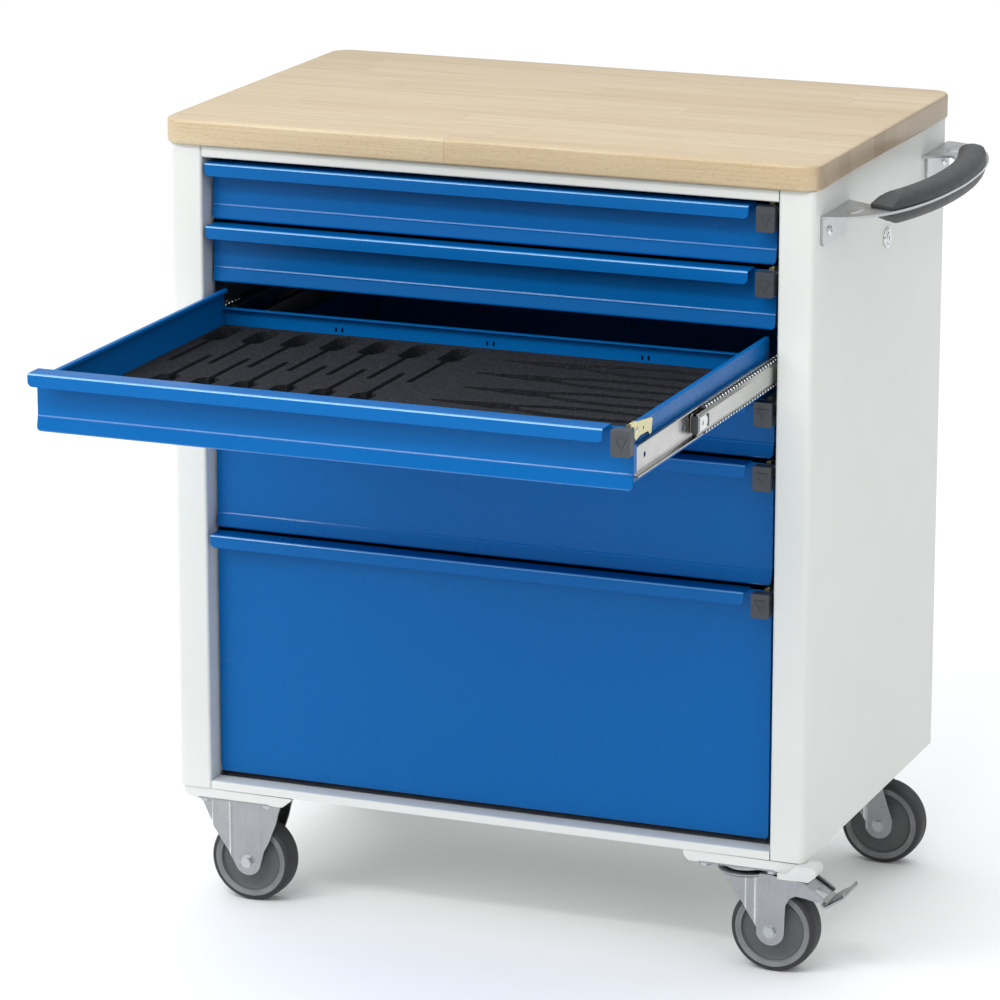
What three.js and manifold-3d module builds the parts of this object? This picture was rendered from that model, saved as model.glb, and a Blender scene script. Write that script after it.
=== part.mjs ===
// Mobile workbench with six drawers, third drawer fully open.
// Millimetres, +Z up. Inside the bench group X runs from the left side panel, Y from the
// front of the frame towards the back, and Z from the floor.
import * as THREE from 'three';
import { mergeVertices } from 'three/addons/utils/BufferGeometryUtils.js';
import Module from 'manifold-3d';

const wasm = await Module();
wasm.setup();

// ---------------------------------------------------------------- driving dimensions

const GAP = 0.3; // between pieces that touch
const OVERLAP = 0.5; // of shapes that are welded into one piece

const BODY_WIDTH = 795;
const BODY_DEPTH = 500;
const BODY_BOTTOM = 146;
const BODY_TOP = 935;
const BODY_SHEET = 2;
const INNER_SHEET = 1.5;
const POST_WIDTH = 42;
const POST_RETURN = 28;
const POST_CORNER = 8;
const REAR_FLANGE = 22;
const REAR_PANEL_FLANGE = 16;
const TOP_RAIL_HEIGHT = 14.5;
const TOP_RAIL_DEPTH = 60; // of its flange under the worktop
const SILL_HEIGHT = 10;
const SILL_LIP = 7;

const WORKTOP_OVERHANG_X = 6;
const WORKTOP_OVERHANG_Y = 8;
const WORKTOP_THICKNESS = 30;
const WORKTOP_CORNER = 25;
const WORKTOP_EDGE = 3;

const MODULE = 75; // drawer pitch
const DRAWER_MODULES = [1, 1, 1, 1, 2, 4];
const OPEN_DRAWER = 3; // counted from the top
const FIRST_TOP = 914;
const FRONT_GAP = 4.5;
const LOWEST_EXTRA = 6.5; // the lowest front reaches further down
const DRAWER_TRAVEL = 460;
const MIDDLE_RATIO = 0.63; // middle rail's travel over the drawer's

const FRONT_LEFT = 45;
const FRONT_RIGHT = 743;
const FRONT_SETBACK = 25;
const FRONT_SHEET = 1.5;
const FRONT_CORNER = 6;
const FRONT_FLANGE = 10;
const SKIRT_HEIGHT = 17;
const SKIRT_LEAN = 4;
const FOOT_FLANGE = 18;
const GRIP_LEFT = 46;
const GRIP_RIGHT = 717;
const GRIP_HEIGHT = 15;

const TRAY_LEFT = 58;
const TRAY_RIGHT = 737;
const TRAY_LENGTH = 455;
const TRAY_SHEET = 1.5;
const TRAY_FLOOR = 3; // above the front's lower edge
const TRAY_SIDE_DROP = 3; // side walls below the front's top
const TRAY_REAR_DROP = 26;
const TRAY_FLANGE = 6;
const DIVIDER_SLOT = [2.5, 5.5]; // width and height
const DIVIDER_SPACING = 8; // between the two slots of a pair
const DIVIDER_PAIRS = 3;
const DIVIDER_PITCH = 190.7; // between the pairs
const DIVIDER_DROP = 12; // below the rear wall's top

const SLIDE_HEIGHT = 35;
const SLIDE_DROP = 41.5; // slide centre below the front's top
const SLIDE_LENGTH = 440;
const SLIDE_FRONT = 37;
const SLIDE_SHEET = 1.5;
const SLIDE_OUTER = 15.2; // from the tray wall to the rack
const MEMBER_WIDTH = 7;
const MIDDLE_WIDTH = 10;
const MIDDLE_HEIGHT = 26;

const LATCH_LEFT = 726;
const LATCH_WIDTH = 22;
const LATCH_HEIGHT = 29;
const LATCH_DEPTH = 13.5;
const LEVER_X = 739;
const LEVER_SHEET = 2;
const LEVER_END = 88;
const LEVER_NOTCH_DROP = 22; // height of the cut in the front's flange for the lever
const LATCH_PIVOT_Y = 40;
const LATCH_PIVOT_DROP = 8;

const FOAM_THICKNESS = 20;
const FOAM_CLEARANCE = 1;
const BLADE_POCKET = [6, 8.5]; // width and depth
const HANDLE_POCKET = [28, 12.5];
const REAR_TOOLS = { count: 7, first: 79, pitch: 49.3, blade: [290, 402], handle: [398, 468] };
const FRONT_TOOLS = { count: 6, first: 112, pitch: 48.2, blade: [226, 332], handle: [140, 230] };
const PLIERS = [
  [436, 430],
  [428, 362],
  [440, 294],
  [430, 226],
]; // tip of the jaws, X and Y
const PLIERS_DEPTH = 12;
const KNIFE_POCKET = { x: [440, 560], y: [118, 150], corner: 8 };
const BIT_POCKET = { x: [590, 700], y: [112, 156], corner: 10 };

const RACK_Y = [32, 430];
const RACK_WIDTH = 30;

const HANDLE_Z = 900.5;
const HANDLE_SHEET = 3;
const HANDLE_FOOT = [22, 127];
const HANDLE_TAB = [22, 112];
const HANDLE_TAB_HEIGHT = 32;
const HANDLE_MIDDLE = 265; // along Y
const HANDLE_REACH = 96;
const GRIP_WIDTH = 35;
const GRIP_RISE = 17;

const LOCK_Y = 270;
const LOCK_Z = 831;
const LOCK_FLANGE_R = 12;
const LOCK_BARREL_R = 9;
const LOCK_PLUG_R = 7;
const LOCK_FLANGE_THICKNESS = 2.7;
const LOCK_DEPTH = 17;
const PLUG_DEPTH = 13;
const PLUG_PROUD = 3.2;
const KEYWAY = [1.6, 8]; // width and height

const BEAM_WIDTH = 138;
const BEAM_HEIGHT = 10.7;
const BEAM_SHEET = 2.5;
const BEAM_INSET = 8;
const BEAM_CORNER = 8;
const BEAM_SLANT = 12;
const BUMPER_REACH = 21.5; // under the beam
const BUMPER_LOW = 127.5;
const BUMPER_NOSE = [803, 812]; // X at the foot and at the widest
const BUMPER_Y = [-8, 20];

const WHEEL_R = 52;
const WHEEL_WIDTH = 33;
const HUB_WIDTH = 36;
const AXLE_R = 5;
const FORK_HALF = 20; // to the inside of a fork leg
const FORK_SHEET = 2.5;
const FORK_TIP_R = 17;
const PLATE = [105, 80, 3];
const PLATE_TOP = 134.7;
const CASTER_INSET_Y = 42;
const FIXED_X = 71; // plate centre
const FIXED_AXLE = 10; // axle ahead of the plate centre
const SWIVEL_X = 712;
const SWIVEL_TRAIL = 37;
const KINGPIN_R = 7;
const RACE_R = 27;
const RIVET = [11, 4]; // radius and height of the kingpin's head
const BRAKE_RISE = 106; // height of the pedal's pin
const BRAKE_REACH = 72; // pin ahead of the swivel axis

// ---------------------------------------------------------------- materials

function finish(color, roughness, metalness) {
  return () => new THREE.MeshStandardMaterial({ color, roughness, metalness });
}

const greyPaint = finish(0xd9dcdb, 0.45, 0.0);
const bluePaint = finish(0x1464ad, 0.35, 0.0);
const beech = finish(0xdfc9a2, 0.5, 0.0);
const zinc = finish(0xb9bcbe, 0.35, 0.9);
const yellowZinc = finish(0xcdbb72, 0.35, 0.8);
const chrome = finish(0xd5d7d8, 0.15, 1.0);
const darkPlastic = finish(0x474b50, 0.55, 0.0);
const lightPlastic = finish(0xd6d5d0, 0.5, 0.0);
const tyreRubber = finish(0x4a4a4a, 0.7, 0.0);
const foamBlack = finish(0x2e2f33, 0.95, 0.0);

// ---------------------------------------------------------------- shape helpers

const rightX = (x) => BODY_WIDTH - x;
const range = (count) => [...Array(count).keys()];

function toManifold(geometry) {
  const bare = geometry.clone();
  for (const name of Object.keys(bare.attributes)) {
    if (name !== 'position') bare.deleteAttribute(name);
  }
  const merged = mergeVertices(bare, 1e-4);
  return new wasm.Manifold(
    new wasm.Mesh({
      numProp: 3,
      vertProperties: new Float32Array(merged.attributes.position.array),
      triVerts: new Uint32Array(merged.index.array),
    }),
  );
}

function toGeometry(manifold) {
  const mesh = manifold.getMesh();
  const geometry = new THREE.BufferGeometry();
  geometry.setAttribute('position', new THREE.BufferAttribute(mesh.vertProperties, 3));
  geometry.setIndex(new THREE.BufferAttribute(mesh.triVerts, 1));
  geometry.computeVertexNormals();
  return geometry;
}

const join = (...shapes) => toGeometry(shapes.map(toManifold).reduce((a, b) => a.add(b)));
const cut = (shape, ...tools) =>
  toGeometry(tools.map(toManifold).reduce((a, b) => a.subtract(b), toManifold(shape)));
const common = (a, b) => toGeometry(toManifold(a).intersect(toManifold(b)));

function box([x0, x1], [y0, y1], [z0, z1]) {
  const geometry = new THREE.BoxGeometry(x1 - x0, y1 - y0, z1 - z0);
  return geometry.translate((x0 + x1) / 2, (y0 + y1) / 2, (z0 + z1) / 2);
}

// A prism of a flat outline. The outline's two coordinates are the two axes that the
// prism doesn't run along, in X, Y, Z order.
function prism(axis, outline, [from, to], options = {}) {
  const shape = outline instanceof THREE.Shape ? outline : new THREE.Shape(outline);
  const geometry = new THREE.ExtrudeGeometry(shape, {
    depth: to - from,
    bevelEnabled: false,
    curveSegments: 6,
    ...options,
  });
  const [x, y, z] = [new THREE.Vector3(1, 0, 0), new THREE.Vector3(0, 1, 0), new THREE.Vector3(0, 0, 1)];
  const turn = new THREE.Matrix4();
  if (axis === 'x') turn.makeBasis(y, z, x).setPosition(from, 0, 0);
  if (axis === 'y') turn.makeBasis(x, z, y.negate()).setPosition(0, to, 0);
  if (axis === 'z') turn.setPosition(0, 0, from);
  return geometry.applyMatrix4(turn);
}

function cylinder(axis, radius, [from, to], centre, sides = 20) {
  const geometry = new THREE.CylinderGeometry(radius, radius, to - from, sides);
  const middle = (from + to) / 2;
  if (axis === 'x') return geometry.rotateZ(Math.PI / 2).translate(middle, centre[0], centre[1]);
  if (axis === 'y') return geometry.translate(centre[0], middle, centre[1]);
  return geometry.rotateX(Math.PI / 2).translate(centre[0], centre[1], middle);
}

// Replaces each inner corner of a path by an arc of the given radius.
function rounded(corners, radii, steps = 3) {
  const points = corners.map(([a, b]) => new THREE.Vector2(a, b));
  const path = [points[0]];
  for (let i = 1; i < points.length - 1; i += 1) {
    const radius = Array.isArray(radii) ? radii[i - 1] : radii;
    const before = points[i - 1].clone().sub(points[i]).normalize();
    const after = points[i + 1].clone().sub(points[i]).normalize();
    const half = Math.acos(before.dot(after)) / 2;
    const reach = radius / Math.tan(half);
    const start = points[i].clone().addScaledVector(before, reach);
    const end = points[i].clone().addScaledVector(after, reach);
    const bisector = before.clone().add(after).normalize();
    const centre = points[i].clone().addScaledVector(bisector, radius / Math.sin(half));
    for (const k of range(steps + 1)) {
      const chord = start.clone().lerp(end, k / steps).sub(centre).setLength(radius);
      path.push(centre.clone().add(chord));
    }
  }
  path.push(points[points.length - 1]);
  return path;
}

// The outline of bent sheet whose outer face follows the path and whose metal is on its left.
function sheet(path, thickness) {
  const normals = path.slice(1).map((point, i) => {
    const along = point.clone().sub(path[i]).normalize();
    return new THREE.Vector2(-along.y, along.x);
  });
  const inner = path.map((point, i) => {
    const a = normals[Math.max(i - 1, 0)];
    const b = normals[Math.min(i, normals.length - 1)];
    const mitre = a.clone().add(b).normalize();
    return point.clone().addScaledVector(mitre, thickness / mitre.dot(a));
  });
  return [...path, ...inner.reverse()];
}

function roundedRect([x0, x1], [y0, y1], [bottomLeft, bottomRight, topRight, topLeft]) {
  const shape = new THREE.Shape();
  shape.moveTo(x0 + bottomLeft, y0);
  shape.lineTo(x1 - bottomRight, y0);
  if (bottomRight) shape.absarc(x1 - bottomRight, y0 + bottomRight, bottomRight, -Math.PI / 2, 0);
  shape.lineTo(x1, y1 - topRight);
  if (topRight) shape.absarc(x1 - topRight, y1 - topRight, topRight, 0, Math.PI / 2);
  shape.lineTo(x0 + topLeft, y1);
  if (topLeft) shape.absarc(x0 + topLeft, y1 - topLeft, topLeft, Math.PI / 2, Math.PI);
  shape.lineTo(x0, y0 + bottomLeft);
  if (bottomLeft) shape.absarc(x0 + bottomLeft, y0 + bottomLeft, bottomLeft, Math.PI, 1.5 * Math.PI);
  return shape;
}

// A closed profile of [radius, distance along the axis] turned about Y.
function turned(profile, segments) {
  const points = profile.map(([r, y]) => new THREE.Vector2(r, y));
  return new THREE.LatheGeometry([...points, points[0].clone()], segments);
}

function mesh(name, geometry, material) {
  const made = new THREE.Mesh(geometry, material());
  made.name = name;
  return made;
}

// ---------------------------------------------------------------- body

function sidePanelOutline(atX) {
  const path = rounded(
    [
      [REAR_FLANGE, BODY_DEPTH],
      [0, BODY_DEPTH],
      [0, 0],
      [POST_WIDTH, 0],
      [POST_WIDTH, POST_RETURN],
    ],
    [3, POST_CORNER, 3.5],
    4,
  );
  return sheet(path, BODY_SHEET).map((point) => new THREE.Vector2(atX(point.x), point.y));
}

function leftSidePanel() {
  return prism('z', sidePanelOutline((x) => x), [BODY_BOTTOM, BODY_TOP]);
}

function rightSidePanel() {
  const wall = [rightX(BODY_SHEET * 2), rightX(-BODY_SHEET)];
  const lockHole = cylinder('x', LOCK_BARREL_R + GAP, wall, [LOCK_Y, LOCK_Z]);
  return cut(prism('z', sidePanelOutline(rightX), [BODY_BOTTOM, BODY_TOP]), lockHole);
}

const BASE_TOP = BODY_BOTTOM + GAP + BODY_SHEET;

function rearPanel() {
  const back = BODY_DEPTH - BODY_SHEET - GAP;
  const left = BODY_SHEET + GAP;
  const path = rounded(
    [
      [rightX(left), back - REAR_PANEL_FLANGE],
      [rightX(left), back],
      [left, back],
      [left, back - REAR_PANEL_FLANGE],
    ],
    3,
  );
  return prism('z', sheet(path, INNER_SHEET), [BASE_TOP + GAP, BODY_TOP]);
}

function basePanel() {
  const front = INNER_SHEET + 1;
  const behindPosts = POST_RETURN + GAP;
  const insidePosts = POST_WIDTH + GAP;
  const left = BODY_SHEET + GAP;
  const back = BODY_DEPTH - BODY_SHEET - GAP;
  const outline = [
    [insidePosts, front],
    [rightX(insidePosts), front],
    [rightX(insidePosts), behindPosts],
    [rightX(left), behindPosts],
    [rightX(left), back],
    [left, back],
    [left, behindPosts],
    [insidePosts, behindPosts],
  ];
  return prism('z', outline.map(([x, y]) => new THREE.Vector2(x, y)), [BODY_BOTTOM + GAP, BASE_TOP]);
}

const RAIL_FACE = 0.5; // the rails sit just behind the posts' faces
const RAIL_SPAN = [POST_WIDTH + GAP, rightX(POST_WIDTH + GAP)];

function frontTopRail() {
  const path = rounded(
    [
      [TOP_RAIL_DEPTH, BODY_TOP],
      [RAIL_FACE, BODY_TOP],
      [RAIL_FACE, BODY_TOP - TOP_RAIL_HEIGHT],
      [POST_RETURN, BODY_TOP - TOP_RAIL_HEIGHT],
    ],
    2.5,
  );
  return prism('x', sheet(path, INNER_SHEET), RAIL_SPAN);
}

function frontBottomRail() {
  const top = BODY_BOTTOM + SILL_HEIGHT;
  const path = rounded(
    [
      [POST_RETURN, top - SILL_LIP],
      [POST_RETURN, top],
      [RAIL_FACE, top],
      [RAIL_FACE, BODY_BOTTOM],
    ],
    2.5,
  );
  return prism('x', sheet(path, INNER_SHEET), RAIL_SPAN);
}

function worktop() {
  const shape = roundedRect(
    [-WORKTOP_OVERHANG_X, BODY_WIDTH + WORKTOP_OVERHANG_X],
    [-WORKTOP_OVERHANG_Y, BODY_DEPTH + WORKTOP_OVERHANG_Y],
    [WORKTOP_CORNER, WORKTOP_CORNER, WORKTOP_CORNER, WORKTOP_CORNER],
  );
  const low = BODY_TOP + GAP;
  return prism('z', shape, [low + WORKTOP_EDGE, low + WORKTOP_THICKNESS - WORKTOP_EDGE], {
    bevelEnabled: true,
    bevelThickness: WORKTOP_EDGE,
    bevelSize: WORKTOP_EDGE,
    bevelOffset: -WORKTOP_EDGE,
    bevelSegments: 3,
  });
}

// A shallow folded channel under the body: the left flange is upright, the right one slants.
function casterBeam(left) {
  const low = BODY_BOTTOM - GAP - BEAM_HEIGHT;
  const right = left + BEAM_WIDTH;
  const profile = (inset) => {
    const shape = new THREE.Shape();
    const top = low + BEAM_HEIGHT + (inset ? OVERLAP : 0);
    shape.moveTo(left + inset, top);
    shape.lineTo(left + inset, low + BEAM_CORNER);
    shape.absarc(left + BEAM_CORNER, low + BEAM_CORNER, BEAM_CORNER - inset, Math.PI, 1.5 * Math.PI);
    shape.lineTo(right - BEAM_SLANT - inset / 2, low + inset);
    shape.lineTo(right - inset, low + BEAM_HEIGHT - 1);
    shape.lineTo(right - inset, top);
    return shape;
  };
  const [front, back] = [2, BODY_DEPTH - 2];
  return cut(
    prism('y', profile(0), [front, back]),
    prism('y', profile(BEAM_SHEET), [front + BEAM_SHEET, back - BEAM_SHEET]),
  );
}

// A moulded corner block below the right front corner, shaped round the slanted flange.
function cornerBumper() {
  const beamRight = BODY_WIDTH - BEAM_INSET;
  const beamLow = BODY_BOTTOM - GAP - BEAM_HEIGHT;
  const [foot, nose] = BUMPER_NOSE;
  const outline = [
    [beamRight - BUMPER_REACH, BUMPER_LOW],
    [foot, BUMPER_LOW],
    [nose, BUMPER_LOW + 7.5],
    [nose, BODY_BOTTOM - 4],
    [nose - 5, BODY_BOTTOM - GAP],
    [beamRight + 0.5, BODY_BOTTOM - GAP],
    [beamRight + 0.5, beamLow + BEAM_HEIGHT - 1.6],
    [beamRight - BEAM_SLANT + 0.5, beamLow - GAP],
    [beamRight - BUMPER_REACH, beamLow - GAP],
  ];
  return prism('y', outline.map(([x, z]) => new THREE.Vector2(x, z)), BUMPER_Y);
}

// ---------------------------------------------------------------- runner racks and slides

const slideZ = (drawer) => drawer.top - SLIDE_DROP;
const SLIDE_REAR = SLIDE_FRONT + SLIDE_LENGTH;
const INSIDE_FRONT = FRONT_SETBACK + FRONT_FLANGE + 1; // where the drawer's own rail starts

// A C section with its web at webX and its lips reaching to lipX.
function cRail(webX, lipX, z, [from, to]) {
  const half = SLIDE_HEIGHT / 2;
  const corners = [
    [lipX, z - half],
    [webX, z - half],
    [webX, z + half],
    [lipX, z + half],
  ];
  const path = rounded(webX < lipX ? corners.reverse() : corners, 3);
  return prism('y', sheet(path, SLIDE_SHEET), [from, to]);
}

function middleRail(x, z, [from, to]) {
  const [halfX, halfZ, half] = [MIDDLE_WIDTH / 2, MIDDLE_HEIGHT / 2, SLIDE_SHEET];
  const corners = [
    [-halfX, -halfZ],
    [-halfX + half, -halfZ],
    [-halfX + half, -half],
    [halfX - half, -half],
    [halfX - half, -halfZ],
    [halfX, -halfZ],
  ];
  const mirrored = corners.map(([a, b]) => [-a, -b]);
  const outline = [...corners, ...mirrored].map(([a, b]) => new THREE.Vector2(x + a, z + b));
  return prism('y', outline, [from, to]);
}

// Positions across the slide, for a tray wall at wallX and a rack on the side given by sign.
function slidePlan(wallX, sign) {
  return {
    drawerWeb: wallX + sign * (GAP + 0.1),
    drawerLip: wallX + sign * (GAP + 0.1 + MEMBER_WIDTH),
    middle: wallX + sign * (GAP + 0.1 + SLIDE_OUTER / 2),
    rackWeb: wallX + sign * (GAP + 0.1 + SLIDE_OUTER),
    rackLip: wallX + sign * (GAP + 0.1 + SLIDE_OUTER - MEMBER_WIDTH),
  };
}

const LEFT_SLIDE = slidePlan(TRAY_LEFT, -1);
const RIGHT_SLIDE = slidePlan(TRAY_RIGHT, 1);

function runnerRack(plan, sideX, drawers) {
  const sign = Math.sign(sideX - plan.rackWeb);
  const web = plan.rackWeb - sign * GAP;
  const uprights = RACK_Y.map((y) => {
    const corners = [
      [sideX, y],
      [web, y],
      [web, y + RACK_WIDTH],
      [sideX, y + RACK_WIDTH],
    ];
    const path = rounded(sign > 0 ? corners.reverse() : corners, 3);
    return prism('z', sheet(path, INNER_SHEET), [BASE_TOP + GAP, BODY_TOP - INNER_SHEET - 1]);
  });
  const rails = drawers.map((drawer) =>
    cRail(plan.rackWeb, plan.rackLip, slideZ(drawer), [SLIDE_FRONT, SLIDE_REAR]),
  );
  return join(...uprights, ...rails);
}

// ---------------------------------------------------------------- drawers

const drawers = DRAWER_MODULES.map((modules, i) => {
  const above = DRAWER_MODULES.slice(0, i).reduce((sum, m) => sum + m, 0);
  const top = FIRST_TOP - above * MODULE;
  const lowest = i === DRAWER_MODULES.length - 1;
  return {
    number: i + 1,
    top,
    bottom: top - modules * MODULE + FRONT_GAP - (lowest ? LOWEST_EXTRA : 0),
    skirt: !lowest,
    open: i + 1 === OPEN_DRAWER,
  };
});

// The blue front: a panel with short side flanges, a skirt that leans forward at the foot,
// and a grip ledge whose lip hangs in front.
function frontPanel({ top, bottom, skirt }) {
  const panelTop = top - 2;
  const lean = skirt ? SKIRT_LEAN : 0;
  const foot = FRONT_SETBACK - lean;
  const corners = [
    [FRONT_SETBACK, panelTop],
    ...(skirt ? [[FRONT_SETBACK, bottom + SKIRT_HEIGHT]] : []),
    [foot, bottom],
    [foot + FOOT_FLANGE, bottom],
  ].map(([y, z]) => new THREE.Vector2(y, z));
  const panel = common(
    prism('x', sheet(corners, FRONT_SHEET), [FRONT_LEFT, FRONT_RIGHT]),
    prism(
      'y',
      roundedRect([FRONT_LEFT, FRONT_RIGHT], [bottom, top], [FRONT_CORNER, FRONT_CORNER, 1, 1]),
      [-5, 60],
    ),
  );
  const flangeSpan = [FRONT_SETBACK + OVERLAP, FRONT_SETBACK + FRONT_FLANGE];
  const flangeHeight = [bottom + SKIRT_HEIGHT + 1, panelTop];
  const flanges = [
    [FRONT_LEFT, FRONT_LEFT + FRONT_SHEET],
    [FRONT_RIGHT - FRONT_SHEET, FRONT_RIGHT],
  ].map((x) => box(x, flangeSpan, flangeHeight));
  const lip = prism(
    'y',
    roundedRect([GRIP_LEFT, GRIP_RIGHT], [top - GRIP_HEIGHT, top], [FRONT_CORNER, FRONT_CORNER, 1, 1]),
    [0, FRONT_SHEET],
  );
  const ledge = box(
    [GRIP_LEFT, GRIP_RIGHT],
    [FRONT_SHEET - OVERLAP, FRONT_SETBACK + FRONT_SHEET],
    [top - FRONT_SHEET, top],
  );
  const seam = box(
    [GRIP_LEFT, GRIP_RIGHT],
    [FRONT_SETBACK, FRONT_SETBACK + FRONT_SHEET],
    [panelTop - FRONT_SHEET, top - FRONT_SHEET + OVERLAP],
  );
  return join(panel, ...flanges, lip, ledge, seam);
}

const TRAY_FRONT = FRONT_SETBACK + 1;
const TRAY_REAR = TRAY_FRONT + TRAY_LENGTH;

function trayTub({ top, bottom }) {
  const floor = bottom + TRAY_FLOOR;
  const wallTop = top - TRAY_SIDE_DROP;
  const inside = [TRAY_LEFT + TRAY_SHEET, TRAY_RIGHT - TRAY_SHEET];
  const shell = box([TRAY_LEFT, TRAY_RIGHT], [TRAY_FRONT, TRAY_REAR], [floor, wallTop]);
  const hollow = box(inside, [TRAY_FRONT + TRAY_SHEET, TRAY_REAR - TRAY_SHEET], [floor + TRAY_SHEET, top]);
  const rearStep = box(inside, [TRAY_REAR - 2 * TRAY_SHEET, TRAY_REAR + 1], [top - TRAY_REAR_DROP, top]);
  const flangeSpan = [TRAY_FRONT + TRAY_SHEET, TRAY_REAR - TRAY_SHEET];
  const flangeHeight = [wallTop - TRAY_SHEET, wallTop];
  const flanges = [
    [TRAY_LEFT + OVERLAP, TRAY_LEFT + TRAY_FLANGE],
    [TRAY_RIGHT - TRAY_FLANGE, TRAY_RIGHT - OVERLAP],
  ].map((x) => box(x, flangeSpan, flangeHeight));
  return { shell, hollow, rearStep, flanges };
}

// Pairs of short divider slots along the rear wall.
function dividerSlots({ top }) {
  const [width, height] = DIVIDER_SLOT;
  const z = top - TRAY_REAR_DROP - DIVIDER_DROP;
  const middle = (TRAY_LEFT + TRAY_RIGHT) / 2;
  return range(DIVIDER_PAIRS).flatMap((i) => {
    const pairX = middle + (i - (DIVIDER_PAIRS - 1) / 2) * DIVIDER_PITCH;
    return [-1, 1].map((side) => {
      const x = pairX + (side * DIVIDER_SPACING) / 2;
      return box([x - width / 2, x + width / 2], [TRAY_REAR - 4, TRAY_REAR + 2], [z - height, z]);
    });
  });
}

function tray(drawer) {
  const { shell, hollow, rearStep, flanges } = trayTub(drawer);
  const body = join(cut(shell, hollow, rearStep), ...flanges, frontPanel(drawer));
  const notch = box(
    [LEVER_X - 2, FRONT_RIGHT + 1],
    [FRONT_SETBACK - 1, FRONT_SETBACK + FRONT_FLANGE + 1],
    [drawer.top - LEVER_NOTCH_DROP, drawer.top + 1],
  );
  return cut(body, notch, ...dividerSlots(drawer));
}

function drawerRail(plan, drawer) {
  return cRail(plan.drawerWeb, plan.drawerLip, slideZ(drawer), [INSIDE_FRONT, INSIDE_FRONT + SLIDE_LENGTH]);
}

// Screwed rails of a closed drawer, carried over to the tray by small spacers.
function trayWithRails(drawer) {
  const z = slideZ(drawer);
  const parts = [
    [LEFT_SLIDE, TRAY_LEFT],
    [RIGHT_SLIDE, TRAY_RIGHT],
  ].flatMap(([plan, wallX]) => {
    const reach = [plan.drawerWeb, wallX].sort((a, b) => a - b);
    const spacers = [80, 420].map((y) =>
      box([reach[0] - OVERLAP, reach[1] + OVERLAP], [y, y + 16], [z - 8, z + 8]),
    );
    return [drawerRail(plan, drawer), ...spacers];
  });
  return join(tray(drawer), ...parts);
}

const STEM_END = FRONT_SETBACK - 3;

function latchBlock({ top }) {
  const block = box(
    [LATCH_LEFT, LATCH_LEFT + LATCH_WIDTH],
    [OVERLAP, OVERLAP + LATCH_DEPTH],
    [top - LATCH_HEIGHT, top],
  );
  const stem = box([LEVER_X - 1, LEVER_X + 3], [LATCH_DEPTH - 1, STEM_END], [top - 14, top - 2]);
  return join(block, stem);
}

// Flat rocker behind the latch: a raised toe at the front, a pivot boss towards the tray wall
// and a blade that widens to a hook at the rear.
function latchLever({ top }, front) {
  const outline = [
    [front, top - 10],
    [LATCH_PIVOT_Y - 8, top - 12],
    [LATCH_PIVOT_Y - 4, top - 19],
    [LATCH_PIVOT_Y + 10, top - 16],
    [LEVER_END - 14, top - 17],
    [LEVER_END - 9, top - 21.5],
    [LEVER_END - 4, top - 21.5],
    [LEVER_END, top - 5],
    [LATCH_PIVOT_Y, top + 1],
    [LATCH_PIVOT_Y - 6, top + 3],
    [front, top + 3],
  ].map(([y, z]) => new THREE.Vector2(y, z));
  const plate = prism('x', outline, [LEVER_X, LEVER_X + LEVER_SHEET]);
  const boss = cylinder(
    'x',
    3,
    [TRAY_RIGHT + GAP, LEVER_X + OVERLAP],
    [LATCH_PIVOT_Y, top - LATCH_PIVOT_DROP],
    12,
  );
  return join(plate, boss);
}

const latch = (drawer) => join(latchBlock(drawer), latchLever(drawer, STEM_END - OVERLAP));

function pocket(xs, ys, corner, high, depth) {
  const outline = roundedRect(xs, ys, [corner, corner, corner, corner]);
  return prism('z', outline, [high - depth, high + 1], { curveSegments: 4 });
}

// A row of screwdriver pockets: a broad one for each handle and a slit for its blade.
function toolRow({ count, first, pitch, blade, handle }, high) {
  const wide = ([width, depth], span, x) =>
    pocket([x - width / 2, x + width / 2], span, width / 2 - OVERLAP, high, depth);
  return range(count).flatMap((i) => {
    const x = first + pitch * i;
    return [wide(BLADE_POCKET, blade, x), wide(HANDLE_POCKET, handle, x)];
  });
}

// Pliers lying along X: the jaws and joint in one pocket, and two channels for the handles.
function pliersPockets([x, y], high) {
  const jaws = [
    [0, -3],
    [50, -10],
    [84, -14],
    [104, -12],
    [104, 12],
    [84, 14],
    [50, 10],
    [0, 3],
  ];
  const leg = [
    [94, 1],
    [140, 10],
    [190, 13],
    [252, 9],
    [254, 20],
    [190, 26],
    [138, 24],
    [94, 12],
  ];
  const mirrored = leg.map(([u, v]) => [u, -v]).reverse();
  return [jaws, leg, mirrored].map((outline) => {
    const points = outline.map(([u, v]) => new THREE.Vector2(x + u, y + v));
    return prism('z', points, [high - PLIERS_DEPTH, high + 1]);
  });
}

function foamInsert(drawer) {
  const low = drawer.bottom + TRAY_FLOOR + TRAY_SHEET + GAP;
  const high = low + FOAM_THICKNESS;
  const clear = TRAY_SHEET + FOAM_CLEARANCE;
  const slab = box(
    [TRAY_LEFT + clear, TRAY_RIGHT - clear],
    [TRAY_FRONT + clear, TRAY_REAR - clear],
    [low, high],
  );
  const small = [KNIFE_POCKET, BIT_POCKET].map(({ x, y, corner }) =>
    pocket(x, y, corner, high, BLADE_POCKET[1]),
  );
  return cut(
    slab,
    ...toolRow(REAR_TOOLS, high),
    ...toolRow(FRONT_TOOLS, high),
    ...PLIERS.flatMap((tip) => pliersPockets(tip, high)),
    ...small,
  );
}

// ---------------------------------------------------------------- handle and lock

const handleX = (reach) => BODY_WIDTH + reach;
const mirrorY = (y) => 2 * HANDLE_MIDDLE - y;

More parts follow.
